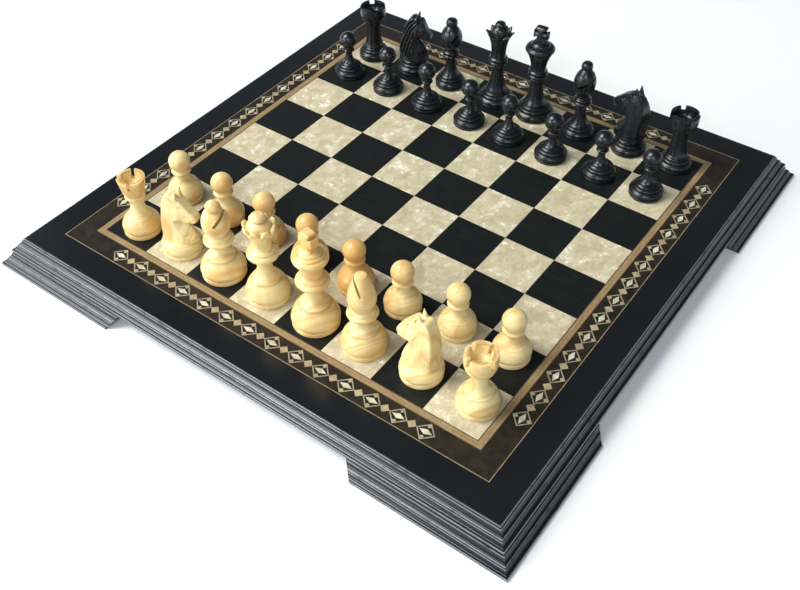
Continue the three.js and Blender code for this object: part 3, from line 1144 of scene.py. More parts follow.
@dataclass
class Moulding:
    """The moulded face that the rails and the feet share, in metres."""

    height: float
    lip: float = 1.03 * MM
    ledge: float = 0.9 * MM
    upper_cove: float = 2.6 * MM
    upper_drop: float = 3.4 * MM
    fillet: float = 1.44 * MM
    middle_ledge: float = 0.6 * MM
    lower_cove: float = 2.4 * MM
    lower_drop: float = 2.47 * MM
    lower_ledge: float = 0.5 * MM
    cove_steps: int = 8
    arris: float = 0.28 * MM
    lead_in: float = 1.0 * MM
    edge_highlight_share: float = 1.6

    def cove(self, out: float, z: float, reach: float, drop: float) -> list[Mark]:
        """Return a hollow that runs outward as it falls.

        Args:
            out: Where it starts.
            z: Its height there.
            reach: How far out it goes.
            drop: How far it falls.

        Returns:
            Its marks, ending in an edge.
        """
        marks = []
        for i in range(1, self.cove_steps + 1):
            turn = i / self.cove_steps * math.pi / 2
            at = (out + reach * (1 - math.cos(turn)), z - drop * math.sin(turn))
            marks.append(Mark(*at, i == self.cove_steps))
        return marks

    def face(self, out: float, top: float) -> list[Mark]:
        """Return the moulded face from its top edge down.

        Args:
            out: Where its top edge is.
            top: Its height.

        Returns:
            The marks.
        """
        z = top - self.lip
        marks = [edge(out, top), edge(out, z), edge(out + self.ledge, z)]
        marks += self.cove(out + self.ledge, z, self.upper_cove, self.upper_drop)
        x, z = marks[-1].across, marks[-1].up - self.fillet
        marks += [edge(x, z), edge(x + self.middle_ledge, z)]
        marks += self.cove(x + self.middle_ledge, z, self.lower_cove, self.lower_drop)
        x, z = marks[-1].across, marks[-1].up
        marks += [edge(x + self.lower_ledge, z), edge(x + self.lower_ledge, top - self.height)]
        return marks

    def fine(self, out: float, top: float) -> tuple[np.ndarray, np.ndarray]:
        """Return the face finely drawn, and how much painted edge highlight each point takes.

        Args:
            out: Where its top edge is.
            top: Its height.

        Returns:
            The points, and 1 on each outer arris falling to 0 elsewhere.
        """
        marks = self.face(out, top)
        wear_and_edge_highlight = []
        outline = drawn([flow(out - self.lead_in, top), *marks], 1, self.arris)
        corners = [mark for i, mark in enumerate(marks) if mark.edge and self.proud_corner(marks, i)]
        # Painted highlight: strongest on each outward corner, fading within a little over an arris's
        # width.
        for point in outline:
            near = min(math.dist(point, corner[:2]) for corner in corners)
            wear_and_edge_highlight.append(max(0.0, 1.0 - near / (self.edge_highlight_share * self.arris)))
        return outline, np.array(wear_and_edge_highlight)

    @staticmethod
    def proud_corner(marks: Sequence[Mark], at: int) -> bool:
        """Say whether a mark is an outward corner.

        Args:
            marks: The face's marks.
            at: Which one.

        Returns:
            True where the face turns downward.
        """
        after = marks[min(at + 1, len(marks) - 1)]
        return after.up < marks[at].up - 1e-6


class BorderAndFeet:
    """The mitred black border and the four bracket feet under it."""

    def __init__(self, sizes: BoardSizes) -> None:
        """Work out the moulding from the nodes.

        Args:
            sizes: The board's sizes.
        """
        self.sizes = sizes
        self.moulding = Moulding(sizes.top - sizes.foot_top)
        widest = self.moulding.face(0.0, 0.0)[-1].across
        self.foot_out = sizes.foot_reach - widest
        rail_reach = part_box("border_rail_right")[1].x - sizes.half
        self.flat_out = rail_reach - widest

    def rail(self, side: Side) -> None:
        """Build one border rail.

        Args:
            side: Its side.
        """
        sizes = self.sizes
        face, wear_and_edge_highlight = self.moulding.fine(self.flat_out, sizes.top)
        inner = [(sizes.band, sizes.foot_top), (sizes.band, sizes.top)]
        section = [*inner, *map(tuple, face)]
        points = [
            side.turned(end * (sizes.half + out), -(sizes.half + out), z)
            for out, z in section
            for end in (-1, 1)
        ]
        # The arris values carry the painted edge highlight.
        arris = np.repeat([0.0, 0.0, *wear_and_edge_highlight], 2)
        count = len(section)
        faces = [
            (2 * i, 2 * i + 1, 2 * ((i + 1) % count) + 1, 2 * ((i + 1) % count)) for i in range(count)
        ]
        faces.append(tuple(range(2 * count - 2, -1, -2)))
        faces.append(tuple(range(1, 2 * count, 2)))
        piece = MeshPiece(f"rail_{side.word}")
        piece.add(points, faces, arris=arris)
        piece.build(LACQUER, "board", "black_lacquer", [f"border_rail_{side.word}"])

    def foot(self, side: Side, way: int, node: str) -> None:
        """Build half of a bracket foot, moulded round its inner end as well.

        Args:
            side: Its side.
            way: 1 for the half that meets the corner on the side's far end, -1 for the other.
            node: The node that it stands for.
        """
        sizes = self.sizes
        face, wear_and_edge_highlight = self.moulding.fine(self.foot_out, sizes.foot_top)
        inner = sizes.half + sizes.foot_reach - sizes.foot_width
        end_at_top = sizes.half + sizes.foot_reach - sizes.foot_length
        points = []
        for out, z in face:
            reach = sizes.half + out
            end = end_at_top + (out - self.foot_out)
            for along, away in ((reach, reach), (end, reach), (end, inner), (inner, inner)):
                points.append(side.turned(way * along, -away, z))
        count = len(face)
        faces = bridged(count, 4)
        last = 4 * (count - 1)
        faces += [(0, 1, 2, 3), (last + 3, last + 2, last + 1, last)]
        if way > 0:
            faces = [face_corners[::-1] for face_corners in faces]
        piece = MeshPiece(node.replace("foot_", "bracket_", 1))
        # The arris values carry the painted edge highlight.
        piece.add(points, faces, arris=np.repeat(wear_and_edge_highlight, 4))
        piece.build(LACQUER, "board", "black_lacquer", [node])

    def build(self) -> None:
        """Build the rails, the feet and the underside."""
        corners = ["front_right", "back_right", "back_left", "front_left"]
        for side in Side:
            self.rail(side)
            far, near = corners[side.value], corners[side.value - 1]
            self.foot(side, 1, f"foot_{far}_on_{side.word}")
            self.foot(side, -1, f"foot_{near}_on_{side.word}")
        core = frame["nodes"]["core_panel"]
        core.data.materials.clear()
        core.data.materials.append(CorePly().material())
        log.info("core_panel is dressed as carried over")


# ---------------------------------------------------------------- turned men
class Army(Enum):
    """The two armies."""

    WHITE = "white"
    BLACK = "black"

    @property
    def finish(self) -> Finish:
        """Return the army's wood."""
        return BOXWOOD if self is Army.WHITE else EBONISED

    @property
    def slot(self) -> str:
        """Return the army's material slot."""
        return "boxwood" if self is Army.WHITE else "ebonised_wood"


def pale_bell(foot: float, shoulder: float, high: float) -> list[Mark]:
    """Return the plinth, groove and tall dome that carry every pale man.

    Args:
        foot: The dome's widest radius, in squares.
        shoulder: The radius where the dome meets the neck's hollow.
        high: The height of that line.

    Returns:
        The marks from the middle of the foot up.
    """
    middle = 0.2 + (high - 0.2) * 0.55
    return [
        edge(0, 0), edge(foot - 0.022, 0), flow(foot - 0.008, 0.02), edge(foot - 0.01, 0.08),
        edge(foot - 0.03, 0.092), flow(foot - 0.008, 0.12), flow(foot, 0.16),
        flow(foot - 0.012, 0.215), flow(foot + (shoulder - foot) * 0.45, middle),
        edge(shoulder, high), edge(shoulder - 0.009, high + 0.002),
    ]


def dark_drum(foot: float) -> list[Mark]:
    """Return the plinth, drum and two rings that carry every dark man.

    Args:
        foot: The plinth's radius, in squares.

    Returns:
        The marks from the middle of the foot up.
    """
    return [
        edge(0, 0), edge(foot - 0.012, 0), flow(foot, 0.02), edge(foot - 0.004, 0.052),
        edge(foot - 0.026, 0.06), flow(foot + 0.002, 0.095), flow(foot - 0.004, 0.13),
        edge(foot * 0.88, 0.168), edge(foot * 0.8, 0.174), flow(foot * 0.835, 0.194),
        flow(foot * 0.8, 0.22), edge(foot * 0.71, 0.234), edge(foot * 0.66, 0.238),
        flow(foot * 0.68, 0.256), edge(foot * 0.6, 0.274),
    ]


def ball(centre: float, radius: float, neck: float) -> list[Mark]:
    """Return a pawn's ball above its collar.

    Args:
        centre: The ball's middle.
        radius: Its radius.
        neck: The radius where it leaves the collar.

    Returns:
        The marks up to its top.
    """
    first = -math.acos(neck / radius)
    marks = []
    for turn in np.linspace(first, math.pi / 2, 9):
        marks.append(flow(radius * math.cos(turn), centre + radius * math.sin(turn)))
    marks[0] = Mark(*marks[0][:2], True)
    return marks


TURNINGS: dict[str, list[Mark]] = {
    "white_pawn": [
        *pale_bell(0.328, 0.24, 0.352), flow(0.195, 0.39), flow(0.15, 0.44), flow(0.124, 0.5),
        flow(0.118, 0.55), edge(0.128, 0.587), flow(0.166, 0.598), flow(0.18, 0.62),
        flow(0.168, 0.646), edge(0.145, 0.657), *ball(0.822, 0.197, 0.14),
    ],
    "white_rook_a": [
        *pale_bell(0.348, 0.234, 0.375), flow(0.19, 0.42), flow(0.152, 0.49), flow(0.13, 0.58),
        flow(0.125, 0.68), edge(0.14, 0.765), flow(0.178, 0.78), flow(0.186, 0.805),
        edge(0.176, 0.828), edge(0.172, 0.838), flow(0.198, 0.9), flow(0.217, 1.0),
        flow(0.234, 1.1), edge(0.25, 1.2), edge(0.178, 1.2), flow(0.168, 1.12), flow(0.14, 1.05),
        flow(0.08, 1.005), flow(0, 0.99),
    ],
    "white_rook_h": [
        *pale_bell(0.348, 0.238, 0.385), flow(0.19, 0.43), flow(0.152, 0.5), flow(0.132, 0.59),
        flow(0.127, 0.69), edge(0.14, 0.765), edge(0.165, 0.785), flow(0.2, 0.82),
        flow(0.24, 0.9), flow(0.262, 1.0), flow(0.264, 1.1), edge(0.252, 1.2), edge(0.172, 1.2),
        flow(0.165, 1.12), flow(0.14, 1.04), flow(0.08, 1.0), flow(0, 0.99),
    ],
    "white_knight": [*pale_bell(0.365, 0.3, 0.302), edge(0.27, 0.312), edge(0, 0.312)],
    "white_bishop_c": [
        *pale_bell(0.398, 0.25, 0.44), flow(0.2, 0.475), flow(0.155, 0.525), flow(0.125, 0.58),
        flow(0.117, 0.64), flow(0.13, 0.7), edge(0.165, 0.735), flow(0.24, 0.75),
        flow(0.266, 0.78), flow(0.25, 0.815), edge(0.215, 0.835), flow(0.213, 0.858),
        flow(0.2, 0.885), edge(0.16, 0.905), edge(0.165, 0.93), flow(0.21, 1.0),
        flow(0.238, 1.09), flow(0.24, 1.18), flow(0.22, 1.28), flow(0.175, 1.37),
        edge(0.118, 1.43), flow(0.13, 1.455), flow(0.127, 1.505), flow(0.1, 1.55),
        flow(0.05, 1.58), flow(0, 1.588),
    ],
    "white_bishop_f": [
        *pale_bell(0.383, 0.246, 0.44), flow(0.2, 0.475), flow(0.155, 0.525), flow(0.127, 0.58),
        flow(0.118, 0.64), flow(0.13, 0.7), edge(0.165, 0.735), flow(0.23, 0.75),
        flow(0.257, 0.78), flow(0.245, 0.815), edge(0.21, 0.835), flow(0.21, 0.858),
        flow(0.2, 0.885), edge(0.165, 0.9), edge(0.172, 0.92), flow(0.21, 0.99),
        flow(0.228, 1.08), flow(0.222, 1.18), flow(0.196, 1.3), flow(0.158, 1.42),
        flow(0.12, 1.52), edge(0.094, 1.59), flow(0.05, 1.603), flow(0, 1.606),
    ],
    "white_queen": [
        *pale_bell(0.383, 0.246, 0.45), flow(0.2, 0.49), flow(0.165, 0.55), flow(0.142, 0.62),
        flow(0.128, 0.7), flow(0.137, 0.82), edge(0.165, 0.885), flow(0.24, 0.92),
        flow(0.272, 0.97), flow(0.262, 1.02), edge(0.22, 1.05), flow(0.222, 1.075),
        flow(0.205, 1.1), edge(0.168, 1.12), flow(0.16, 1.2), flow(0.172, 1.32),
        flow(0.205, 1.42), flow(0.25, 1.49), flow(0.275, 1.545), flow(0.277, 1.59),
        flow(0.25, 1.61), edge(0.21, 1.565), edge(0.192, 1.56), flow(0.188, 1.61),
        flow(0.155, 1.66), edge(0.1, 1.685), flow(0.124, 1.715), flow(0.122, 1.762),
        flow(0.08, 1.802), flow(0, 1.815),
    ],
    "white_king": [
        *pale_bell(0.412, 0.256, 0.475), flow(0.205, 0.515), flow(0.165, 0.57), flow(0.138, 0.64),
        flow(0.127, 0.72), flow(0.137, 0.8), edge(0.165, 0.86), flow(0.245, 0.89),
        flow(0.28, 0.945), flow(0.27, 0.995), edge(0.228, 1.02), flow(0.228, 1.05),
        flow(0.21, 1.08), edge(0.178, 1.095), flow(0.178, 1.16), flow(0.2, 1.25),
        flow(0.245, 1.34), flow(0.285, 1.41), flow(0.298, 1.46), edge(0.29, 1.503),
        flow(0.265, 1.518), edge(0.244, 1.518), flow(0.242, 1.542), flow(0.22, 1.562),
        edge(0.195, 1.562), flow(0.188, 1.592), edge(0.155, 1.612), flow(0.1, 1.642),
        flow(0, 1.655),
    ],
    "black_pawn": [
        *dark_drum(0.318), flow(0.14, 0.3), flow(0.1, 0.36), flow(0.073, 0.44),
        flow(0.07, 0.51), edge(0.082, 0.565), flow(0.108, 0.576), flow(0.12, 0.594),
        flow(0.108, 0.612), edge(0.09, 0.622), edge(0.09, 0.662), *ball(0.82, 0.178, 0.09),
    ],
    "black_rook": [
        *dark_drum(0.325), flow(0.21, 0.295), edge(0.195, 0.315), flow(0.175, 0.38),
        flow(0.16, 0.48), flow(0.15, 0.6), flow(0.148, 0.72), flow(0.152, 0.82),
        edge(0.165, 0.885), flow(0.205, 0.9), edge(0.24, 0.925), edge(0.238, 0.945),
        flow(0.256, 0.97), flow(0.27, 1.03), flow(0.274, 1.12), edge(0.27, 1.2), edge(0.19, 1.2),
        flow(0.18, 1.12), flow(0.15, 1.05), flow(0.08, 1.02), flow(0, 1.01),
    ],
    "black_knight": [*dark_drum(0.34), flow(0.25, 0.286), edge(0.235, 0.3), edge(0, 0.3)],
    "black_bishop_c": [
        *dark_drum(0.31), flow(0.165, 0.31), flow(0.128, 0.4), flow(0.105, 0.51),
        flow(0.1, 0.62), edge(0.112, 0.69), flow(0.158, 0.705), flow(0.172, 0.73),
        flow(0.155, 0.755), edge(0.128, 0.765), flow(0.158, 0.785), flow(0.164, 0.812),
        edge(0.128, 0.838), edge(0.126, 0.87), flow(0.17, 0.93), flow(0.208, 1.01),
        flow(0.224, 1.1), flow(0.216, 1.19), flow(0.178, 1.29), flow(0.125, 1.36),
        edge(0.088, 1.395), flow(0.112, 1.42), flow(0.116, 1.475), flow(0.088, 1.535),
        flow(0, 1.555),
    ],
    "black_bishop_f": [
        *dark_drum(0.31), flow(0.165, 0.31), flow(0.128, 0.4), flow(0.105, 0.51),
        flow(0.1, 0.62), edge(0.115, 0.715), flow(0.165, 0.73), flow(0.182, 0.757),
        flow(0.165, 0.785), edge(0.135, 0.797), flow(0.16, 0.812), flow(0.165, 0.84),
        edge(0.125, 0.865), edge(0.12, 0.915), flow(0.158, 0.98), flow(0.198, 1.07),
        flow(0.216, 1.17), flow(0.21, 1.27), flow(0.172, 1.38), flow(0.12, 1.45),
        edge(0.084, 1.49), flow(0.108, 1.515), flow(0.108, 1.575), flow(0.08, 1.625),
        flow(0, 1.642),
    ],
    "black_queen": [
        *dark_drum(0.365), flow(0.215, 0.31), flow(0.175, 0.41), flow(0.145, 0.55),
        flow(0.125, 0.7), flow(0.122, 0.8), edge(0.13, 0.848), flow(0.156, 0.86),
        flow(0.162, 0.885), edge(0.14, 0.908), flow(0.182, 0.925), flow(0.192, 0.955),
        edge(0.158, 0.982), flow(0.186, 1.0), flow(0.188, 1.032), edge(0.158, 1.06),
        flow(0.15, 1.12), flow(0.152, 1.22), flow(0.17, 1.35), flow(0.205, 1.47),
        flow(0.25, 1.56), edge(0.292, 1.615), edge(0.27, 1.63), flow(0.22, 1.6),
        edge(0.185, 1.59), flow(0.18, 1.64), flow(0.15, 1.7), edge(0.098, 1.735),
        flow(0.105, 1.765), flow(0.078, 1.808), flow(0, 1.825),
    ],
    "black_king": [
        *dark_drum(0.39), flow(0.23, 0.31), flow(0.18, 0.41), flow(0.148, 0.54),
        flow(0.125, 0.7), flow(0.122, 0.79), edge(0.132, 0.84), flow(0.16, 0.853),
        flow(0.168, 0.88), edge(0.142, 0.903), flow(0.185, 0.92), flow(0.194, 0.95),
        edge(0.16, 0.978), flow(0.19, 0.998), flow(0.192, 1.03), edge(0.162, 1.06),
        flow(0.155, 1.12), flow(0.165, 1.21), flow(0.195, 1.32), flow(0.235, 1.42),
        edge(0.272, 1.49), flow(0.29, 1.51), flow(0.286, 1.548), edge(0.268, 1.562),
        flow(0.25, 1.585), edge(0.19, 1.603), flow(0.186, 1.63), flow(0.15, 1.665),
        flow(0.09, 1.688), flow(0, 1.693),
    ],
}


@dataclass
class Coronet:
    """The lobes round a queen's crown: where they start, end and how deep they are cut."""

    low: float
    high: float
    inner: float
    depth: float
    drop: float
    sharpness: float
    lobes: int = 8

    def shape(self, radius: np.ndarray, up: np.ndarray, turn: np.ndarray) -> tuple[np.ndarray, ...]:
        """Press the notches into a turned crown.

        Args:
            radius: Each point's radius, in squares.
            up: Each point's height.
            turn: Each point's angle.

        Returns:
            The new radii and heights.
        """
        rise = np.clip((up - self.low) / (self.high - self.low), 0, 1)
        rise = rise * rise * (3 - 2 * rise)
        weight = rise * np.clip((radius - self.inner) / 0.03, 0, 1)
        notch = np.abs(np.cos(turn * self.lobes / 2)) ** self.sharpness
        return radius * (1 - self.depth * weight * notch), up - self.drop * weight * notch


CORONETS = {
    "white_queen": Coronet(1.4, 1.54, 0.2, 0.13, 0.1, 6.0),
    "black_queen": Coronet(1.47, 1.62, 0.19, 0.2, 0.07, 1.4),
}


@dataclass
class TurnedMan:
    """One man turned on a lathe, standing where its node stands."""

    army: Army
    name: str
    node: str
    outline: str
    square: float
    seed: float
    turn: float = 0.0
    sides: int = 64
    curve_steps: int = 5
    arris: float = 0.009
    around: int = 4
    recess_shade_depth: float = 0.02
    out_of_round: float = 0.006

    @property
    def body(self) -> str:
        """Return the body that the man is."""
        return self.name

    def lathe(self) -> MeshPiece:
        """Turn the outline, with its recesses marked for painted shade.

        Returns:
            The turned piece, at the origin.
        """
        outline = drawn(TURNINGS[self.outline], self.curve_steps, self.arris)
        radius, up = outline[:, 0], outline[:, 1]
        window = 2 * self.around + 1
        nearby = np.convolve(np.pad(radius, self.around, "edge"), np.ones(window) / window, "valid")
        # Painted shade: the further a point sinks below its neighbours' mean radius, the darker the wood
        # is painted there.
        dip = np.clip((nearby - radius) / self.recess_shade_depth, 0, 1) * (up > 0.01)
        turns = np.arange(self.sides) / self.sides * 2 * math.pi
        r, z = np.repeat(radius[:, None], self.sides, 1), np.repeat(up[:, None], self.sides, 1)
        t = np.repeat(turns[None, :], len(radius), 0)
        if self.outline in CORONETS:
            r, z = CORONETS[self.outline].shape(r, z, t)
        above_foot = z > 0.3
        r = r * (1 + self.out_of_round * np.sin(2 * t + self.seed * 40) * above_foot)
        points = np.stack([r * np.cos(t), r * np.sin(t), z], -1).reshape(-1, 3) * self.square
        inside = points[self.sides : -self.sides]
        middle = [points[0], points[-1]]
        rows = len(radius) - 2
        count = rows * self.sides
        faces = list(bridged(rows, self.sides))
        for i in range(self.sides):
            beside = (i + 1) % self.sides
            faces.append((count, beside, i))
            faces.append((count + 1, count - self.sides + i, count - self.sides + beside))
        dips = [*np.repeat(dip[1:-1], self.sides), 0.0, 0.0]
        piece = MeshPiece(self.node.replace("_base", "") + "_turning")
        piece.add([*inside, *middle], faces, dip=dips, **self.wood(count + 2))
        return piece

    def wood(self, count: int) -> dict[str, list[float]]:
        """Return the man's own wood values for a number of points.

        Args:
            count: How many points.

        Returns:
            The blank's number and its tone.
        """
        return {"blank": [self.seed] * count, "tone": [TONES.get(self.name, 0.0)] * count}

    def saws(self) -> list[MeshPiece]:
        """Return what is sawn into a rook's rim or a bishop's mitre.

        Returns:
            The saws, or none for the other men.
        """
        if "rook" in self.outline:
            return RIM_SLOTS[self.army].saws(self.square, self.turn)
        if self.name in KERFS:
            return [KERFS[self.name].saw(self.square)]
        return []

    def build(self) -> bpy.types.Object:
        """Turn the man, saw it and stand it on its square.

        Returns:
            The finished object.
        """
        low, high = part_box(self.node)
        place = Vector(((low.x + high.x) / 2, (low.y + high.y) / 2, low.z))
        return self.lathe().build(
            self.army.finish, self.body, self.army.slot, [self.node], place, saws=self.saws()
        )


@dataclass(frozen=True)
class RimSlots:
    """Two slots sawn square to each other across a rook's rim, in squares."""

    half_width: float
    half_depth: float
    middle: float = 1.22
    half_length: float = 0.4

    def saws(self, square: float, turn: float) -> list[MeshPiece]:
        """Return the two saws.

        Args:
            square: One square, in metres.
            turn: The first slot's turn.

        Returns:
            The saws, in the rook's own coordinates.
        """
        half = (self.half_length * square, self.half_width * square, self.half_depth * square)
        middle = (0, 0, self.middle * square)
        return [box_piece(half, middle, (0, 0, turn + more)) for more in (0.0, math.pi / 2)]


@dataclass(frozen=True)
class Kerf:
    """One saw cut into a bishop's mitre: its turn, its lean and where it starts, in squares."""

    turn: float
    lean: float
    height: float
    start: float
    half_width: float
    half_length: float = 0.25
    half_breadth: float = 0.4

    def saw(self, square: float) -> MeshPiece:
        """Return the saw.

        Args:
            square: One square, in metres.

        Returns:
            The saw, in the bishop's own coordinates.
        """
        half = self.half_length * square
        way = Vector((math.cos(self.lean), 0, math.sin(self.lean)))
        middle = Vector((0, 0, self.height * square)) + way * (self.start * square + half)
        middle = Euler((0, 0, self.turn)).to_matrix() @ middle
        sizes = (half, self.half_breadth * square, self.half_width * square)
        return box_piece(sizes, tuple(middle), (0, -self.lean, self.turn))


RIM_SLOTS = {Army.WHITE: RimSlots(0.034, 0.17), Army.BLACK: RimSlots(0.052, 0.12)}
KERFS = {
    "white_bishop_c": Kerf(0.63, 0.82, 1.21, 0.0, 0.027),
    "white_bishop_f": Kerf(3.8, 1.22, 1.24, 0.03, 0.02),
    "black_bishop_c": Kerf(0.5, 0.95, 1.08, 0.03, 0.02),
    "black_bishop_f": Kerf(0.2, 0.6, 1.2, -0.1, 0.021),
}
TONES = {
    "white_pawn_e": 0.42, "white_pawn_d": 0.2, "white_pawn_c": 0.14, "white_pawn_f": 0.05,
    "white_king": 0.04, "white_knight_b": -0.1, "white_knight_g": -0.12, "white_bishop_f": -0.05,
    "black_rook_h": 0.1, "black_knight_g": 0.06, "black_knight_b": 0.06, "black_king": 0.04,
}


def box_piece(half: Colour, middle: Colour, turns: Colour) -> MeshPiece:
    """Return a turned block, used as a saw.

    Args:
        half: Its half sizes.
        middle: Its middle.
        turns: Its turns, as Euler angles.

    Returns:
        The block.
    """
    matrix = Euler(turns).to_matrix()
    points = []
    for z in (-1, 1):
        for x, y in ((-1, -1), (1, -1), (1, 1), (-1, 1)):
            corner = Vector((x * half[0], y * half[1], z * half[2]))
            points.append(matrix @ corner + Vector(middle))
    piece = MeshPiece("saw")
    piece.add(points, [*bridged(2, 4), (4, 5, 6, 7), (3, 2, 1, 0)])
    return piece


# ---------------------------------------------------------------- carved pieces
class CarvedBlock:
    """A block of points that a shape is carved from, in squares."""

    def __init__(self, low: Colour, high: Colour, pitch: float) -> None:
        """Lay out the points.

        Args:
            low: The block's lowest corner.
            high: Its highest corner.
            pitch: The distance between points.
        """
        self.pitch = pitch
        self.low = np.array(low)
        axes = [np.arange(a, b + pitch, pitch) for a, b in zip(low, high)]
        self.x, self.y, self.z = np.meshgrid(*axes, indexing="ij", sparse=True)
        self.field = np.full([len(axis) for axis in axes], 1.0)

    def to_outline(self, outline: np.ndarray, closed: bool = True) -> np.ndarray:
        """Return each point's distance to an outline seen from the side.

        Args:
            outline: The outline's points, across and up.
            closed: Whether to make the distance negative inside it.

        Returns:
            The distances over the block's side.
        """
        px, pz = self.x[:, :, 0], self.z[0, :, :].reshape(1, -1)
        px = np.broadcast_to(px, (px.shape[0], pz.shape[1]))
        pz = np.broadcast_to(pz, px.shape)
        nearest = np.full(px.shape, 9.0)
        inside = np.zeros(px.shape, bool)
        stop = len(outline) if closed else len(outline) - 1
        for i in range(stop):
            ax, az = outline[i]
            bx, bz = outline[(i + 1) % len(outline)]
            ex, ez = bx - ax, bz - az
            along = np.clip(((px - ax) * ex + (pz - az) * ez) / (ex * ex + ez * ez + 1e-12), 0, 1)
            nearest = np.minimum(nearest, np.hypot(px - ax - along * ex, pz - az - along * ez))
            if closed and abs(ez) > 1e-12:
                crosses = ((az > pz) != (bz > pz)) & (px < ex * (pz - az) / ez + ax)
                inside ^= crosses
        return np.where(inside, -nearest, nearest)

    def slab(self, side: np.ndarray, half: np.ndarray | float, round_over: float) -> None:
        """Carve a side outline to a half thickness, rounding it over.

        Args:
            side: Signed distance to the outline.
            half: Half thickness over the side.
            round_over: The rounding.
        """
        shape = side[:, None, :] + 0 * self.y
        faces = np.abs(self.y) - (half[:, None, :] if isinstance(half, np.ndarray) else half)
        a, b = shape + round_over, faces + round_over
        outer = np.hypot(np.maximum(a, 0), np.maximum(b, 0)) + np.minimum(np.maximum(a, b), 0)
        self.join(outer - round_over, 0.0)

    def join(self, other: np.ndarray, smooth: float) -> None:
        """Add a shape.

        Args:
            other: Its distances.
            smooth: How softly it melts in.
        """
        if smooth <= 0:
            self.field = np.minimum(self.field, other)
            return
        share = np.clip(0.5 + 0.5 * (other - self.field) / smooth, 0, 1)
        self.field = other * (1 - share) + self.field * share - smooth * share * (1 - share)

    def take(self, other: np.ndarray) -> None:
        """Cut a shape away.

        Args:
            other: Its distances.
        """
        self.field = np.maximum(self.field, -other)

    def spike(self, foot: Colour, tip: Colour, wide: float, fine: float, flat: float) -> np.ndarray:
        """Return the distances to a tapering spike, such as an ear.

        Args:
            foot: Its foot.
            tip: Its tip.
            wide: Its radius at the foot.
            fine: Its radius at the tip.
            flat: How much thinner it is from side to side.

        Returns:
            The distances.
        """
        a, b = np.array(foot), np.array(tip)
        e = b - a
        dx, dy, dz = self.x - a[0], self.y - a[1], self.z - a[2]
        along = np.clip((dx * e[0] + dy * e[1] + dz * e[2]) / (e @ e), 0, 1)
        rx, ry, rz = dx - along * e[0], (dy - along * e[1]) * flat, dz - along * e[2]
        return np.sqrt(rx * rx + ry * ry + rz * rz) - (wide + (fine - wide) * along)

    def skin(self) -> tuple[np.ndarray, np.ndarray]:
        """Net the surface where the field changes sign.

        Returns:
            Its points and its quads.
        """
        field, shape = self.field, self.field.shape
        inside = field < 0
        total = np.zeros([*(n - 1 for n in shape), 3])
        hits = np.zeros([n - 1 for n in shape])
        cells = [slice(0, n - 1) for n in shape]
        for axis in range(3):
            others = [a for a in range(3) if a != axis]
            for i in (0, 1):
                for j in (0, 1):
                    start = [0, 0, 0]
                    start[others[0]], start[others[1]] = i, j
                    near = tuple(slice(s, s + c.stop) for s, c in zip(start, cells))
                    start[axis] = 1
                    far = tuple(slice(s, s + c.stop) for s, c in zip(start, cells))
                    crossed = inside[near] != inside[far]
                    span = field[near] - field[far]
                    share = np.where(crossed, field[near] / np.where(crossed, span, 1), 0)
                    for other, step in zip(others, (i, j)):
                        total[..., other] += crossed * step
                    total[..., axis] += share
                    hits += crossed
        used = hits > 0
        number = np.full(used.shape, -1)
        number[used] = np.arange(used.sum())
        where = np.argwhere(used) + total[used] / hits[used][:, None]
        quads = []
        for axis in range(3):
            others = [a for a in range(3) if a != axis]
            near, far = [slice(1, n - 1) for n in shape], [slice(1, n - 1) for n in shape]
            near[axis], far[axis] = slice(0, shape[axis] - 1), slice(1, shape[axis])
            change = inside[tuple(near)].astype(int) - inside[tuple(far)].astype(int)
            for sign in (1, -1):
                at = np.argwhere(change == sign)
                at[:, others] += 1
                ring = []
                for i, j in ((1, 1), (0, 1), (0, 0), (1, 0)):
                    cell = at.copy()
                    cell[:, others[0]] -= i
                    cell[:, others[1]] -= j
                    ring.append(number[tuple(cell.T)])
                quad = np.stack(ring, 1)
                flip = (sign < 0) != (axis == 1)
                quads.append(quad[:, ::-1] if flip else quad)
        return where * self.pitch + self.low, np.vstack(quads)


class Mane(Enum):
    """How a horse's mane is cut."""

    PLAIN = "plain"
    FLUTED = "fluted"
    STRANDS = "strands"
    SCALLOPED = "scalloped"


@dataclass(frozen=True)
class ManeCut:
    """How a mane's locks are cut, in squares."""

    spread: float
    wave: float
    depth: float
    sweep: float


MANES = {
    Mane.FLUTED: ManeCut(0.235, 0.036, 0.011, 0.1),
    Mane.STRANDS: ManeCut(0.25, 0.07, 0.034, 0.5),
    Mane.SCALLOPED: ManeCut(0.2, 0.05, 0.016, 0.3),
}


def fade(distance: np.ndarray, width: float) -> np.ndarray:
    """Return 1 at no distance, falling softly to 0 within about two widths."""
    return np.exp(-((distance / width) ** 2))


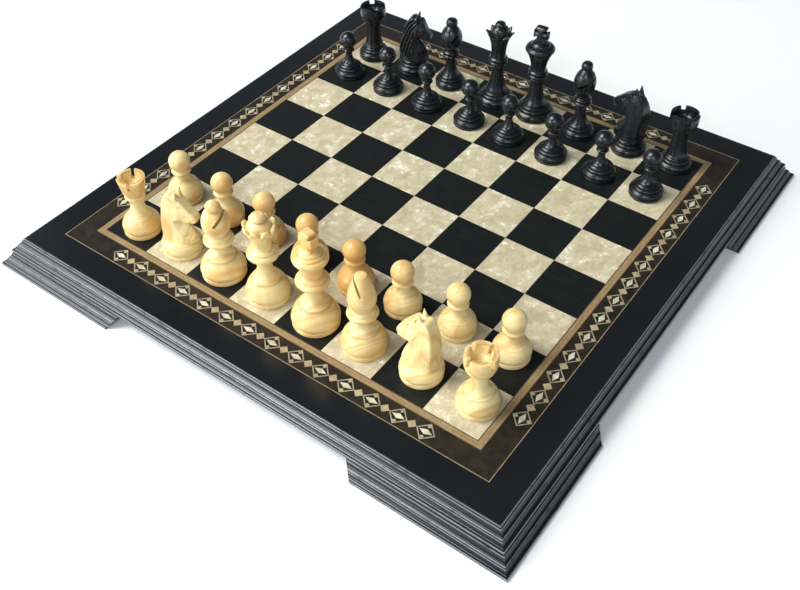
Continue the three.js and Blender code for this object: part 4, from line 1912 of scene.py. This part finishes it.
@dataclass
class HorseHead:
    """One knight's carved head and neck, looking along +X, in squares."""

    army: Army
    name: str
    square: float
    seed: float
    look: float
    profile: tuple[tuple[float, float], ...]
    back_points: int
    ear: tuple[float, float]
    mane: Mane
    eye: tuple[float, float]
    nostril: tuple[float, float]
    mouth: tuple[tuple[float, float], tuple[float, float]]
    throat: tuple[float, float]
    seat: float
    pitch: float = 0.0085
    round_over: float = 0.03
    neck_half: float = 0.235
    taper: float = 0.125
    nose_taper: float = 0.05
    cheek_radius: float = 0.13
    eye_ring: float = 0.03

    def half_thickness(self, block: CarvedBlock, side: np.ndarray, back: np.ndarray) -> np.ndarray:
        """Return half the head's thickness over its side, with its relief.

        Args:
            block: The block.
            side: Signed distance to the outline.
            back: Distance to the line of the back.

        Returns:
            The half thickness.
        """
        x, z = block.x[:, :, 0], block.z[0, :, :].reshape(1, -1)
        rise = np.clip((z - self.seat) / 0.85, 0, 1)
        nose = np.clip((x - 0.12) / 0.3, 0, 1) * (z > 0.66)
        half = self.neck_half - self.taper * rise**0.75 - self.nose_taper * nose
        low = np.clip((0.75 - z) / 0.35, 0, 1)
        half = half * (1 - low * (1 - np.sqrt(np.clip(1 - (x / 0.36) ** 2, 0.05, 1))))
        chest = np.clip((self.throat[1] + 0.02 - z) / 0.06, 0, 1) * np.clip((x - 0.02) / 0.1, 0, 1)
        foot = np.clip((0.46 - z) / 0.14, 0, 1)
        wedge = 0.015 + 1.05 * np.maximum(-side, 0) + 0.14 * foot
        half = half + chest * (np.minimum(half, wedge) - half)
        cheek = np.hypot(x - self.throat[0] - 0.03, (z - self.throat[1] - 0.17))
        half = half + 0.018 * np.clip(1 - (cheek / self.cheek_radius) ** 2, 0, 1)
        return half + self.relief(x, z, side, back)

    def relief(self, x: np.ndarray, z: np.ndarray, side: np.ndarray, back: np.ndarray) -> np.ndarray:
        """Return the raised and cut details: eye, nostril, mouth and mane.

        Args:
            x: Across.
            z: Up.
            side: Signed distance to the outline; not used.
            back: Distance to the line of the back.

        Returns:
            How far each stands out.
        """
        eye = np.hypot(x - self.eye[0], (z - self.eye[1]) * 1.25)
        made = -0.012 * fade(eye - self.eye_ring, 0.008) + 0.006 * fade(eye, 0.018)
        brow = np.hypot((x - self.eye[0] + 0.005) * 0.7, z - self.eye[1] - 0.045)
        made = made + 0.008 * fade(brow, 0.022)
        nostril = np.hypot(x - self.nostril[0], z - self.nostril[1])
        made = made - 0.02 * fade(nostril, 0.014)
        (ax, az), (bx, bz) = self.mouth
        ex, ez = bx - ax, bz - az
        along = np.clip(((x - ax) * ex + (z - az) * ez) / (ex * ex + ez * ez), 0, 1)
        lips = np.hypot(x - ax - along * ex, z - az - along * ez)
        made = made - 0.03 * fade(lips, 0.011)
        return made + self.mane_relief(x, z, back)

    def mane_relief(self, x: np.ndarray, z: np.ndarray, back: np.ndarray) -> np.ndarray:
        """Return the mane's locks.

        Args:
            x: Across.
            z: Up.
            back: Distance to the line of the back.

        Returns:
            Their relief.
        """
        if self.mane is Mane.PLAIN:
            return np.zeros_like(back)
        bottom = np.clip((z - self.seat - 0.08) / 0.12, 0, 1)
        top = np.clip((self.ear[1] - 0.06 - z) / 0.06, 0, 1)
        cut = MANES[self.mane]
        reach = cut.spread * (0.55 + 0.45 * np.clip((1.25 - z) / 0.6, 0, 1))
        if self.mane is not Mane.FLUTED:
            reach = reach * (1 + 0.16 * np.abs(np.sin(z * 15 + x * 4)))
        cover = np.clip((reach - back) / 0.02, 0, 1) * bottom * top
        phase = (back + cut.sweep * (1.2 - z) * 0.3) / cut.wave * 2 * math.pi
        locks = np.abs(np.sin(phase / 2)) if self.mane is not Mane.FLUTED else 0.5 + 0.5 * np.cos(phase)
        return cover * (0.012 + cut.depth * (locks - 0.6))

    def ears(self, block: CarvedBlock) -> None:
        """Raise two ears with hollow fronts.

        Args:
            block: The block.
        """
        tip_x, tip_z = self.ear
        for way in (-1, 1):
            foot = (tip_x - 0.035, way * 0.062, tip_z - 0.19)
            tip = (tip_x, way * 0.078, tip_z)
            block.join(block.spike(foot, tip, 0.066, 0.012, 1.25), 0.02)
            hollow_foot = (tip_x + 0.035, way * 0.085, tip_z - 0.16)
            hollow_tip = (tip_x + 0.012, way * 0.09, tip_z - 0.035)
            block.take(block.spike(hollow_foot, hollow_tip, 0.034, 0.006, 1.0))

    def build(self) -> bpy.types.Object:
        """Carve the head and seat it on its base.

        Returns:
            The finished object.
        """
        profile = np.array(self.profile)
        outline = curve_through(profile, 6, closed=True)
        block = CarvedBlock((-0.36, -0.3, self.seat - 0.03), (0.6, 0.3, 1.5), self.pitch)
        side = block.to_outline(outline)
        back_line = curve_through(profile[: self.back_points], 6)
        back = block.to_outline(back_line, closed=False)
        half = self.half_thickness(block, side, back)
        block.slab(side, half, self.round_over)
        self.ears(block)
        block.field = np.maximum(block.field, self.seat - 0.004 - block.z)
        points, quads = block.skin()
        points = relaxed(points, quads, 2)
        # The eye, nostril and ear hollows are stored as dip, for painted shade.
        depth = self.cut_depth(points)
        base = f"{self.name}_base"
        low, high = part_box(base)
        place = Vector(((low.x + high.x) / 2, (low.y + high.y) / 2, low.z))
        piece = MeshPiece(f"{self.name}_carving")
        count = len(points)
        piece.add(
            points * self.square, quads, dip=depth, blank=[self.seed] * count,
            tone=[TONES.get(self.name, 0.0)] * count,
        )
        return piece.build(
            self.army.finish, self.name, self.army.slot, [f"{self.name}_head"], place,
            math.radians(self.look), 38.0,
        )

    def cut_depth(self, points: np.ndarray) -> np.ndarray:
        """Return how much each point lies in the eye, a nostril or an ear's hollow, where painted shade
        goes.

        Args:
            points: The skin's points.

        Returns:
            1 in a cut, 0 elsewhere.
        """
        x, y, z = points.T
        eye = np.hypot(x - self.eye[0], (z - self.eye[1]) * 1.25)
        found = fade(eye - self.eye_ring, 0.009) * 0.6
        nostril = np.hypot(x - self.nostril[0], z - self.nostril[1])
        found = np.maximum(found, fade(nostril, 0.012))
        hollow_x, hollow_z = self.ear[0] + 0.025, self.ear[1] - 0.11
        for way in (-1, 1):
            ear = np.sqrt((x - hollow_x) ** 2 + (y - way * 0.088) ** 2 + ((z - hollow_z) * 0.5) ** 2)
            found = np.maximum(found, np.clip(1.5 - ear / 0.03, 0, 1))
        return np.clip(found, 0, 1)


def relaxed(points: np.ndarray, quads: np.ndarray, rounds: int) -> np.ndarray:
    """Ease each point towards its neighbours.

    Args:
        points: The points.
        quads: The faces.
        rounds: How many times.

    Returns:
        The eased points.
    """
    for _ in range(rounds):
        total, hits = np.zeros_like(points), np.zeros(len(points))
        for i in range(4):
            here, beside = quads[:, i], quads[:, (i + 1) % 4]
            for a, b in ((here, beside), (beside, here)):
                np.add.at(total, a, points[b])
                np.add.at(hits, a, 1)
        points = points * 0.5 + 0.5 * total / hits[:, None]
    return points


@dataclass
class KingCross:
    """The small cross on a king, in squares."""

    army: Army
    square: float
    seed: float
    arm: float
    stem: float
    tall: float
    thick: float
    soft: float
    look: float

    def build(self) -> bpy.types.Object:
        """Carve the cross and seat it on the crown.

        Returns:
            The finished object.
        """
        name = f"{self.army.value}_king"
        a, s, t = self.arm, self.stem, self.tall
        outline = np.array([
            (-s * 1.5, -0.03), (s * 1.5, -0.03), (s * 1.25, t * 0.12), (s, t * 0.32), (a * 0.93, t * 0.22),
            (a, t * 0.5), (a * 0.93, t * 0.76), (s * 0.95, t * 0.68), (s * 1.35, t * 0.96),
            (0, t * 1.02), (-s * 1.35, t * 0.96), (-s * 0.95, t * 0.68), (-a * 0.93, t * 0.76),
            (-a, t * 0.5), (-a * 0.93, t * 0.22), (-s, t * 0.32), (-s * 1.25, t * 0.12),
        ])
        outline = curve_through(outline, 5, closed=True)
        block = CarvedBlock((-0.2, -0.14, -0.06), (0.2, 0.14, 0.34), 0.006)
        block.slab(block.to_outline(outline), self.thick / 2, self.soft)
        points, quads = block.skin()
        points = relaxed(points, quads, 2)
        low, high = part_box(f"{name}_cross")
        place = Vector(((low.x + high.x) / 2, (low.y + high.y) / 2, low.z))
        piece = MeshPiece(f"{name}_finial")
        count = len(points)
        piece.add(
            points * self.square, quads, dip=[0.0] * count, blank=[self.seed] * count,
            tone=[0.1] * count,
        )
        return piece.build(
            self.army.finish, name, self.army.slot, [f"{name}_cross"], place,
            math.radians(self.look), 40.0,
        )


HORSES: dict[str, dict] = {
    "white_knight_b": {
        "profile": (
            (-0.23, 0.27), (-0.26, 0.42), (-0.245, 0.62), (-0.215, 0.86), (-0.185, 1.06),
            (-0.14, 1.2), (-0.07, 1.27), (0.05, 1.28), (0.15, 1.225), (0.22, 1.14), (0.3, 1.035),
            (0.385, 0.94), (0.445, 0.875), (0.435, 0.79), (0.37, 0.73), (0.28, 0.75), (0.17, 0.8),
            (0.11, 0.785), (0.17, 0.71), (0.26, 0.62), (0.325, 0.51), (0.34, 0.4), (0.322, 0.27),
        ),
        "back_points": 7, "ear": (0.13, 1.4), "mane": Mane.PLAIN, "eye": (0.175, 1.08),
        "nostril": (0.405, 0.855), "mouth": ((0.44, 0.8), (0.35, 0.815)), "throat": (0.12, 0.78),
    },
    "white_knight_g": {
        "profile": (
            (-0.22, 0.27), (-0.25, 0.42), (-0.27, 0.6), (-0.27, 0.8), (-0.245, 1.0),
            (-0.2, 1.14), (-0.14, 1.25), (-0.05, 1.255), (0.06, 1.26), (0.14, 1.215),
            (0.22, 1.13), (0.31, 1.02), (0.39, 0.92), (0.425, 0.845), (0.4, 0.775), (0.35, 0.72),
            (0.27, 0.735), (0.19, 0.76), (0.135, 0.745), (0.17, 0.67), (0.24, 0.58), (0.3, 0.47),
            (0.31, 0.37), (0.28, 0.27),
        ),
        "back_points": 8, "ear": (0.015, 1.385), "mane": Mane.FLUTED, "eye": (0.14, 1.09),
        "nostril": (0.375, 0.86), "mouth": ((0.425, 0.785), (0.3, 0.815)), "throat": (0.135, 0.745),
    },
    "black_knight_b": {
        "profile": (
            (-0.22, 0.27), (-0.265, 0.4), (-0.255, 0.6), (-0.215, 0.84), (-0.165, 1.05),
            (-0.09, 1.2), (-0.02, 1.27), (0.06, 1.27), (0.14, 1.25), (0.21, 1.235), (0.255, 1.17),
            (0.3, 1.06), (0.35, 0.965), (0.4, 0.88), (0.395, 0.81), (0.33, 0.755), (0.25, 0.79),
            (0.18, 0.85), (0.13, 0.83), (0.17, 0.74), (0.25, 0.64), (0.31, 0.53), (0.31, 0.4),
            (0.27, 0.27),
        ),
        "back_points": 7, "ear": (0.12, 1.36), "mane": Mane.STRANDS, "eye": (0.2, 1.07),
        "nostril": (0.365, 0.85), "mouth": ((0.4, 0.8), (0.3, 0.82)), "throat": (0.14, 0.83),
    },
    "black_knight_g": {
        "profile": (
            (-0.2, 0.27), (-0.235, 0.42), (-0.25, 0.6), (-0.26, 0.8), (-0.24, 0.98),
            (-0.185, 1.12), (-0.1, 1.22), (-0.01, 1.265), (0.09, 1.265), (0.19, 1.225),
            (0.28, 1.165), (0.36, 1.09), (0.43, 1.03), (0.475, 0.975), (0.48, 0.9),
            (0.44, 0.845), (0.35, 0.85), (0.25, 0.86), (0.16, 0.82), (0.17, 0.72), (0.25, 0.61),
            (0.33, 0.5), (0.34, 0.39), (0.3, 0.27),
        ),
        "back_points": 8, "ear": (0.0, 1.42), "mane": Mane.SCALLOPED, "eye": (0.22, 1.09),
        "nostril": (0.44, 0.95), "mouth": ((0.48, 0.89), (0.37, 0.9)), "throat": (0.165, 0.81),
    },
}
LOOKS = {
    "white_knight_b": 15.0, "white_knight_g": 180.0, "black_knight_b": 15.0,
    "black_knight_g": 170.0,
}
KNIGHT_SEATS = {Army.WHITE: 0.312, Army.BLACK: 0.3}
CROSSES: dict[Army, dict[str, float]] = {
    Army.WHITE: {"arm": 0.155, "stem": 0.075, "tall": 0.32, "thick": 0.18, "soft": 0.03, "look": -10.0},
    Army.BLACK: {"arm": 0.158, "stem": 0.085, "tall": 0.31, "thick": 0.2, "soft": 0.085, "look": 5.0},
}
SAW_TURNS = {
    "white_rook_a": 0.66, "white_rook_h": -0.3, "black_rook_a": 0.75, "black_rook_h": 0.6,
}


class Armies:
    """All thirty-two men."""

    def __init__(self, square: float) -> None:
        """Keep the square's size.

        Args:
            square: One square, in metres.
        """
        self.square = square
        self.chance = np.random.default_rng(32)

    def man(self, army: Army, name: str) -> None:
        """Build one man.

        Args:
            army: Its army.
            name: Its body's name, such as white_pawn_a.
        """
        rank = name.split("_")[1]
        seed = float(self.chance.random())
        outline = name if name in TURNINGS else f"{army.value}_{rank}"
        node = f"{name}_base" if rank == "knight" else name
        turned = TurnedMan(army, name, node, outline, self.square, seed, SAW_TURNS.get(name, 0.0))
        turned.build()
        if rank == "knight":
            HorseHead(
                army=army, name=name, square=self.square, seed=seed, look=LOOKS[name],
                seat=KNIGHT_SEATS[army], **HORSES[name],
            ).build()
        if rank == "king":
            KingCross(army, self.square, seed, **CROSSES[army]).build()

    def build(self) -> None:
        """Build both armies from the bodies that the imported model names."""
        for name in sorted(frame["bodies"]):
            for army in Army:
                if name.startswith(army.value):
                    self.man(army, name)


# ---------------------------------------------------------------- studio
@dataclass(frozen=True)
class SoftLight:
    """One soft light that faces the board; a height of 0 makes it square."""

    name: str
    place: Colour
    width: float
    watts: float
    colour: Colour
    height: float = 0.0

    def hang(self) -> None:
        """Hang the light."""
        lamp = bpy.data.lights.new(self.name, "AREA")
        lamp.shape = "RECTANGLE"
        lamp.size = self.width
        lamp.size_y = self.height or self.width
        lamp.energy = self.watts
        lamp.color = self.colour
        hung = bpy.data.objects.new(self.name, lamp)
        hung.location = self.place
        hung.rotation_mode = "QUATERNION"
        hung.rotation_quaternion = (-Vector(self.place)).to_track_quat("-Z", "Y")
        bpy.context.scene.collection.objects.link(hung)


SOFT_LIGHTS = (
    SoftLight("key", (-1.65, -1.15, 2.75), 2.0, 150.0, (1.0, 0.975, 0.93)),
    SoftLight("side", (-1.4, 0.15, 1.05), 0.5, 0.36, (0.88, 0.94, 1.0)),
    SoftLight("card", (-1.1, -1.65, 0.66), 1.5, 25.0, (0.86, 0.94, 1.0), 0.6),
    SoftLight("fill", (1.3, -1.5, 1.2), 1.2, 7.0, (0.96, 0.98, 1.0)),
    SoftLight("front", (0.55, -1.35, 1.25), 0.35, 7.0, (0.84, 0.93, 1.0)),
)


@dataclass
class Studio:
    """The paper floor, the soft lights and the camera."""

    stand: Colour = (0.29903, -0.42100, 0.45521)
    aim: Colour = (0.04761, -0.08227, 0.0206)
    roll: float = -0.782
    lens: float = 44.152
    sensor: float = 36.0
    paper: float = 4.0
    paper_steps: int = 24
    flat_share: float = 0.7
    curl: float = 0.25
    sky_strength: float = 0.6
    horizon: tuple[float, Colour] = (0.1, (0.8, 0.9, 1.0))
    zenith: tuple[float, Colour] = (0.6, (0.13, 0.15, 0.17))

    def floor(self) -> None:
        """Lay the paper, curling up a little at its far edges."""
        steps = self.paper_steps
        at = np.linspace(-self.paper, self.paper, steps + 1)
        points = []
        for y in at:
            for x in at:
                away = max(0.0, math.hypot(x, y) - self.flat_share * self.paper)
                points.append((x, y, self.curl * away * away))
        faces = bridged(steps + 1, steps + 1, closed=False)
        mesh = bpy.data.meshes.new("paper_floor")
        mesh.from_pydata(points, [], faces)
        mesh.shade_smooth()
        mesh.materials.append(StudioPaper().material())
        floor = bpy.data.objects.new("paper_floor", mesh)
        bpy.context.scene.collection.objects.link(floor)

    def sky(self) -> None:
        """Fill from all round."""
        world = bpy.data.worlds.new("studio")
        world.use_nodes = True
        backdrop = world.node_tree.nodes["Background"]
        backdrop.inputs["Strength"].default_value = self.sky_strength
        nodes, links = world.node_tree.nodes, world.node_tree.links
        place = nodes.new("ShaderNodeTexCoord")
        parts = nodes.new("ShaderNodeSeparateXYZ")
        ramp = nodes.new("ShaderNodeValToRGB")
        links.new(place.outputs["Generated"], parts.inputs[0])
        links.new(parts.outputs["Z"], ramp.inputs[0])
        links.new(ramp.outputs[0], backdrop.inputs["Color"])
        for stop, (height, colour) in zip(ramp.color_ramp.elements, (self.horizon, self.zenith)):
            stop.position = height
            stop.color = (*colour, 1.0)
        bpy.context.scene.world = world

    def camera(self) -> None:
        """Stand the camera where the set is seen from."""
        lens = bpy.data.cameras.new("camera")
        lens.sensor_fit = "HORIZONTAL"
        lens.sensor_width = self.sensor
        lens.lens = self.lens
        lens.clip_start = 0.01
        camera = bpy.data.objects.new("camera", lens)
        camera.location = self.stand
        facing = (Vector(self.aim) - Vector(self.stand)).to_track_quat("-Z", "Y")
        camera.rotation_mode = "QUATERNION"
        camera.rotation_quaternion = facing @ Quaternion((0, 0, 1), math.radians(self.roll))
        bpy.context.scene.collection.objects.link(camera)
        bpy.context.scene.camera = camera

    def build(self) -> None:
        """Set up the studio."""
        self.floor()
        self.sky()
        for soft_light in SOFT_LIGHTS:
            soft_light.hang()
        self.camera()
        view = bpy.context.scene.view_settings
        view.view_transform = "Standard"
        view.look = "None"


def main() -> None:
    """Build the board, the men and the studio."""
    logging.basicConfig(level=logging.INFO, format="%(name)s: %(message)s")
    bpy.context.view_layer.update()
    sizes = BoardSizes()
    PlayingField(sizes).build()
    InlaidBand(sizes).build()
    BorderAndFeet(sizes).build()
    Armies(sizes.square).build()
    Studio().build()
    bpy.context.view_layer.update()


if __name__ == "__main__":
    main()
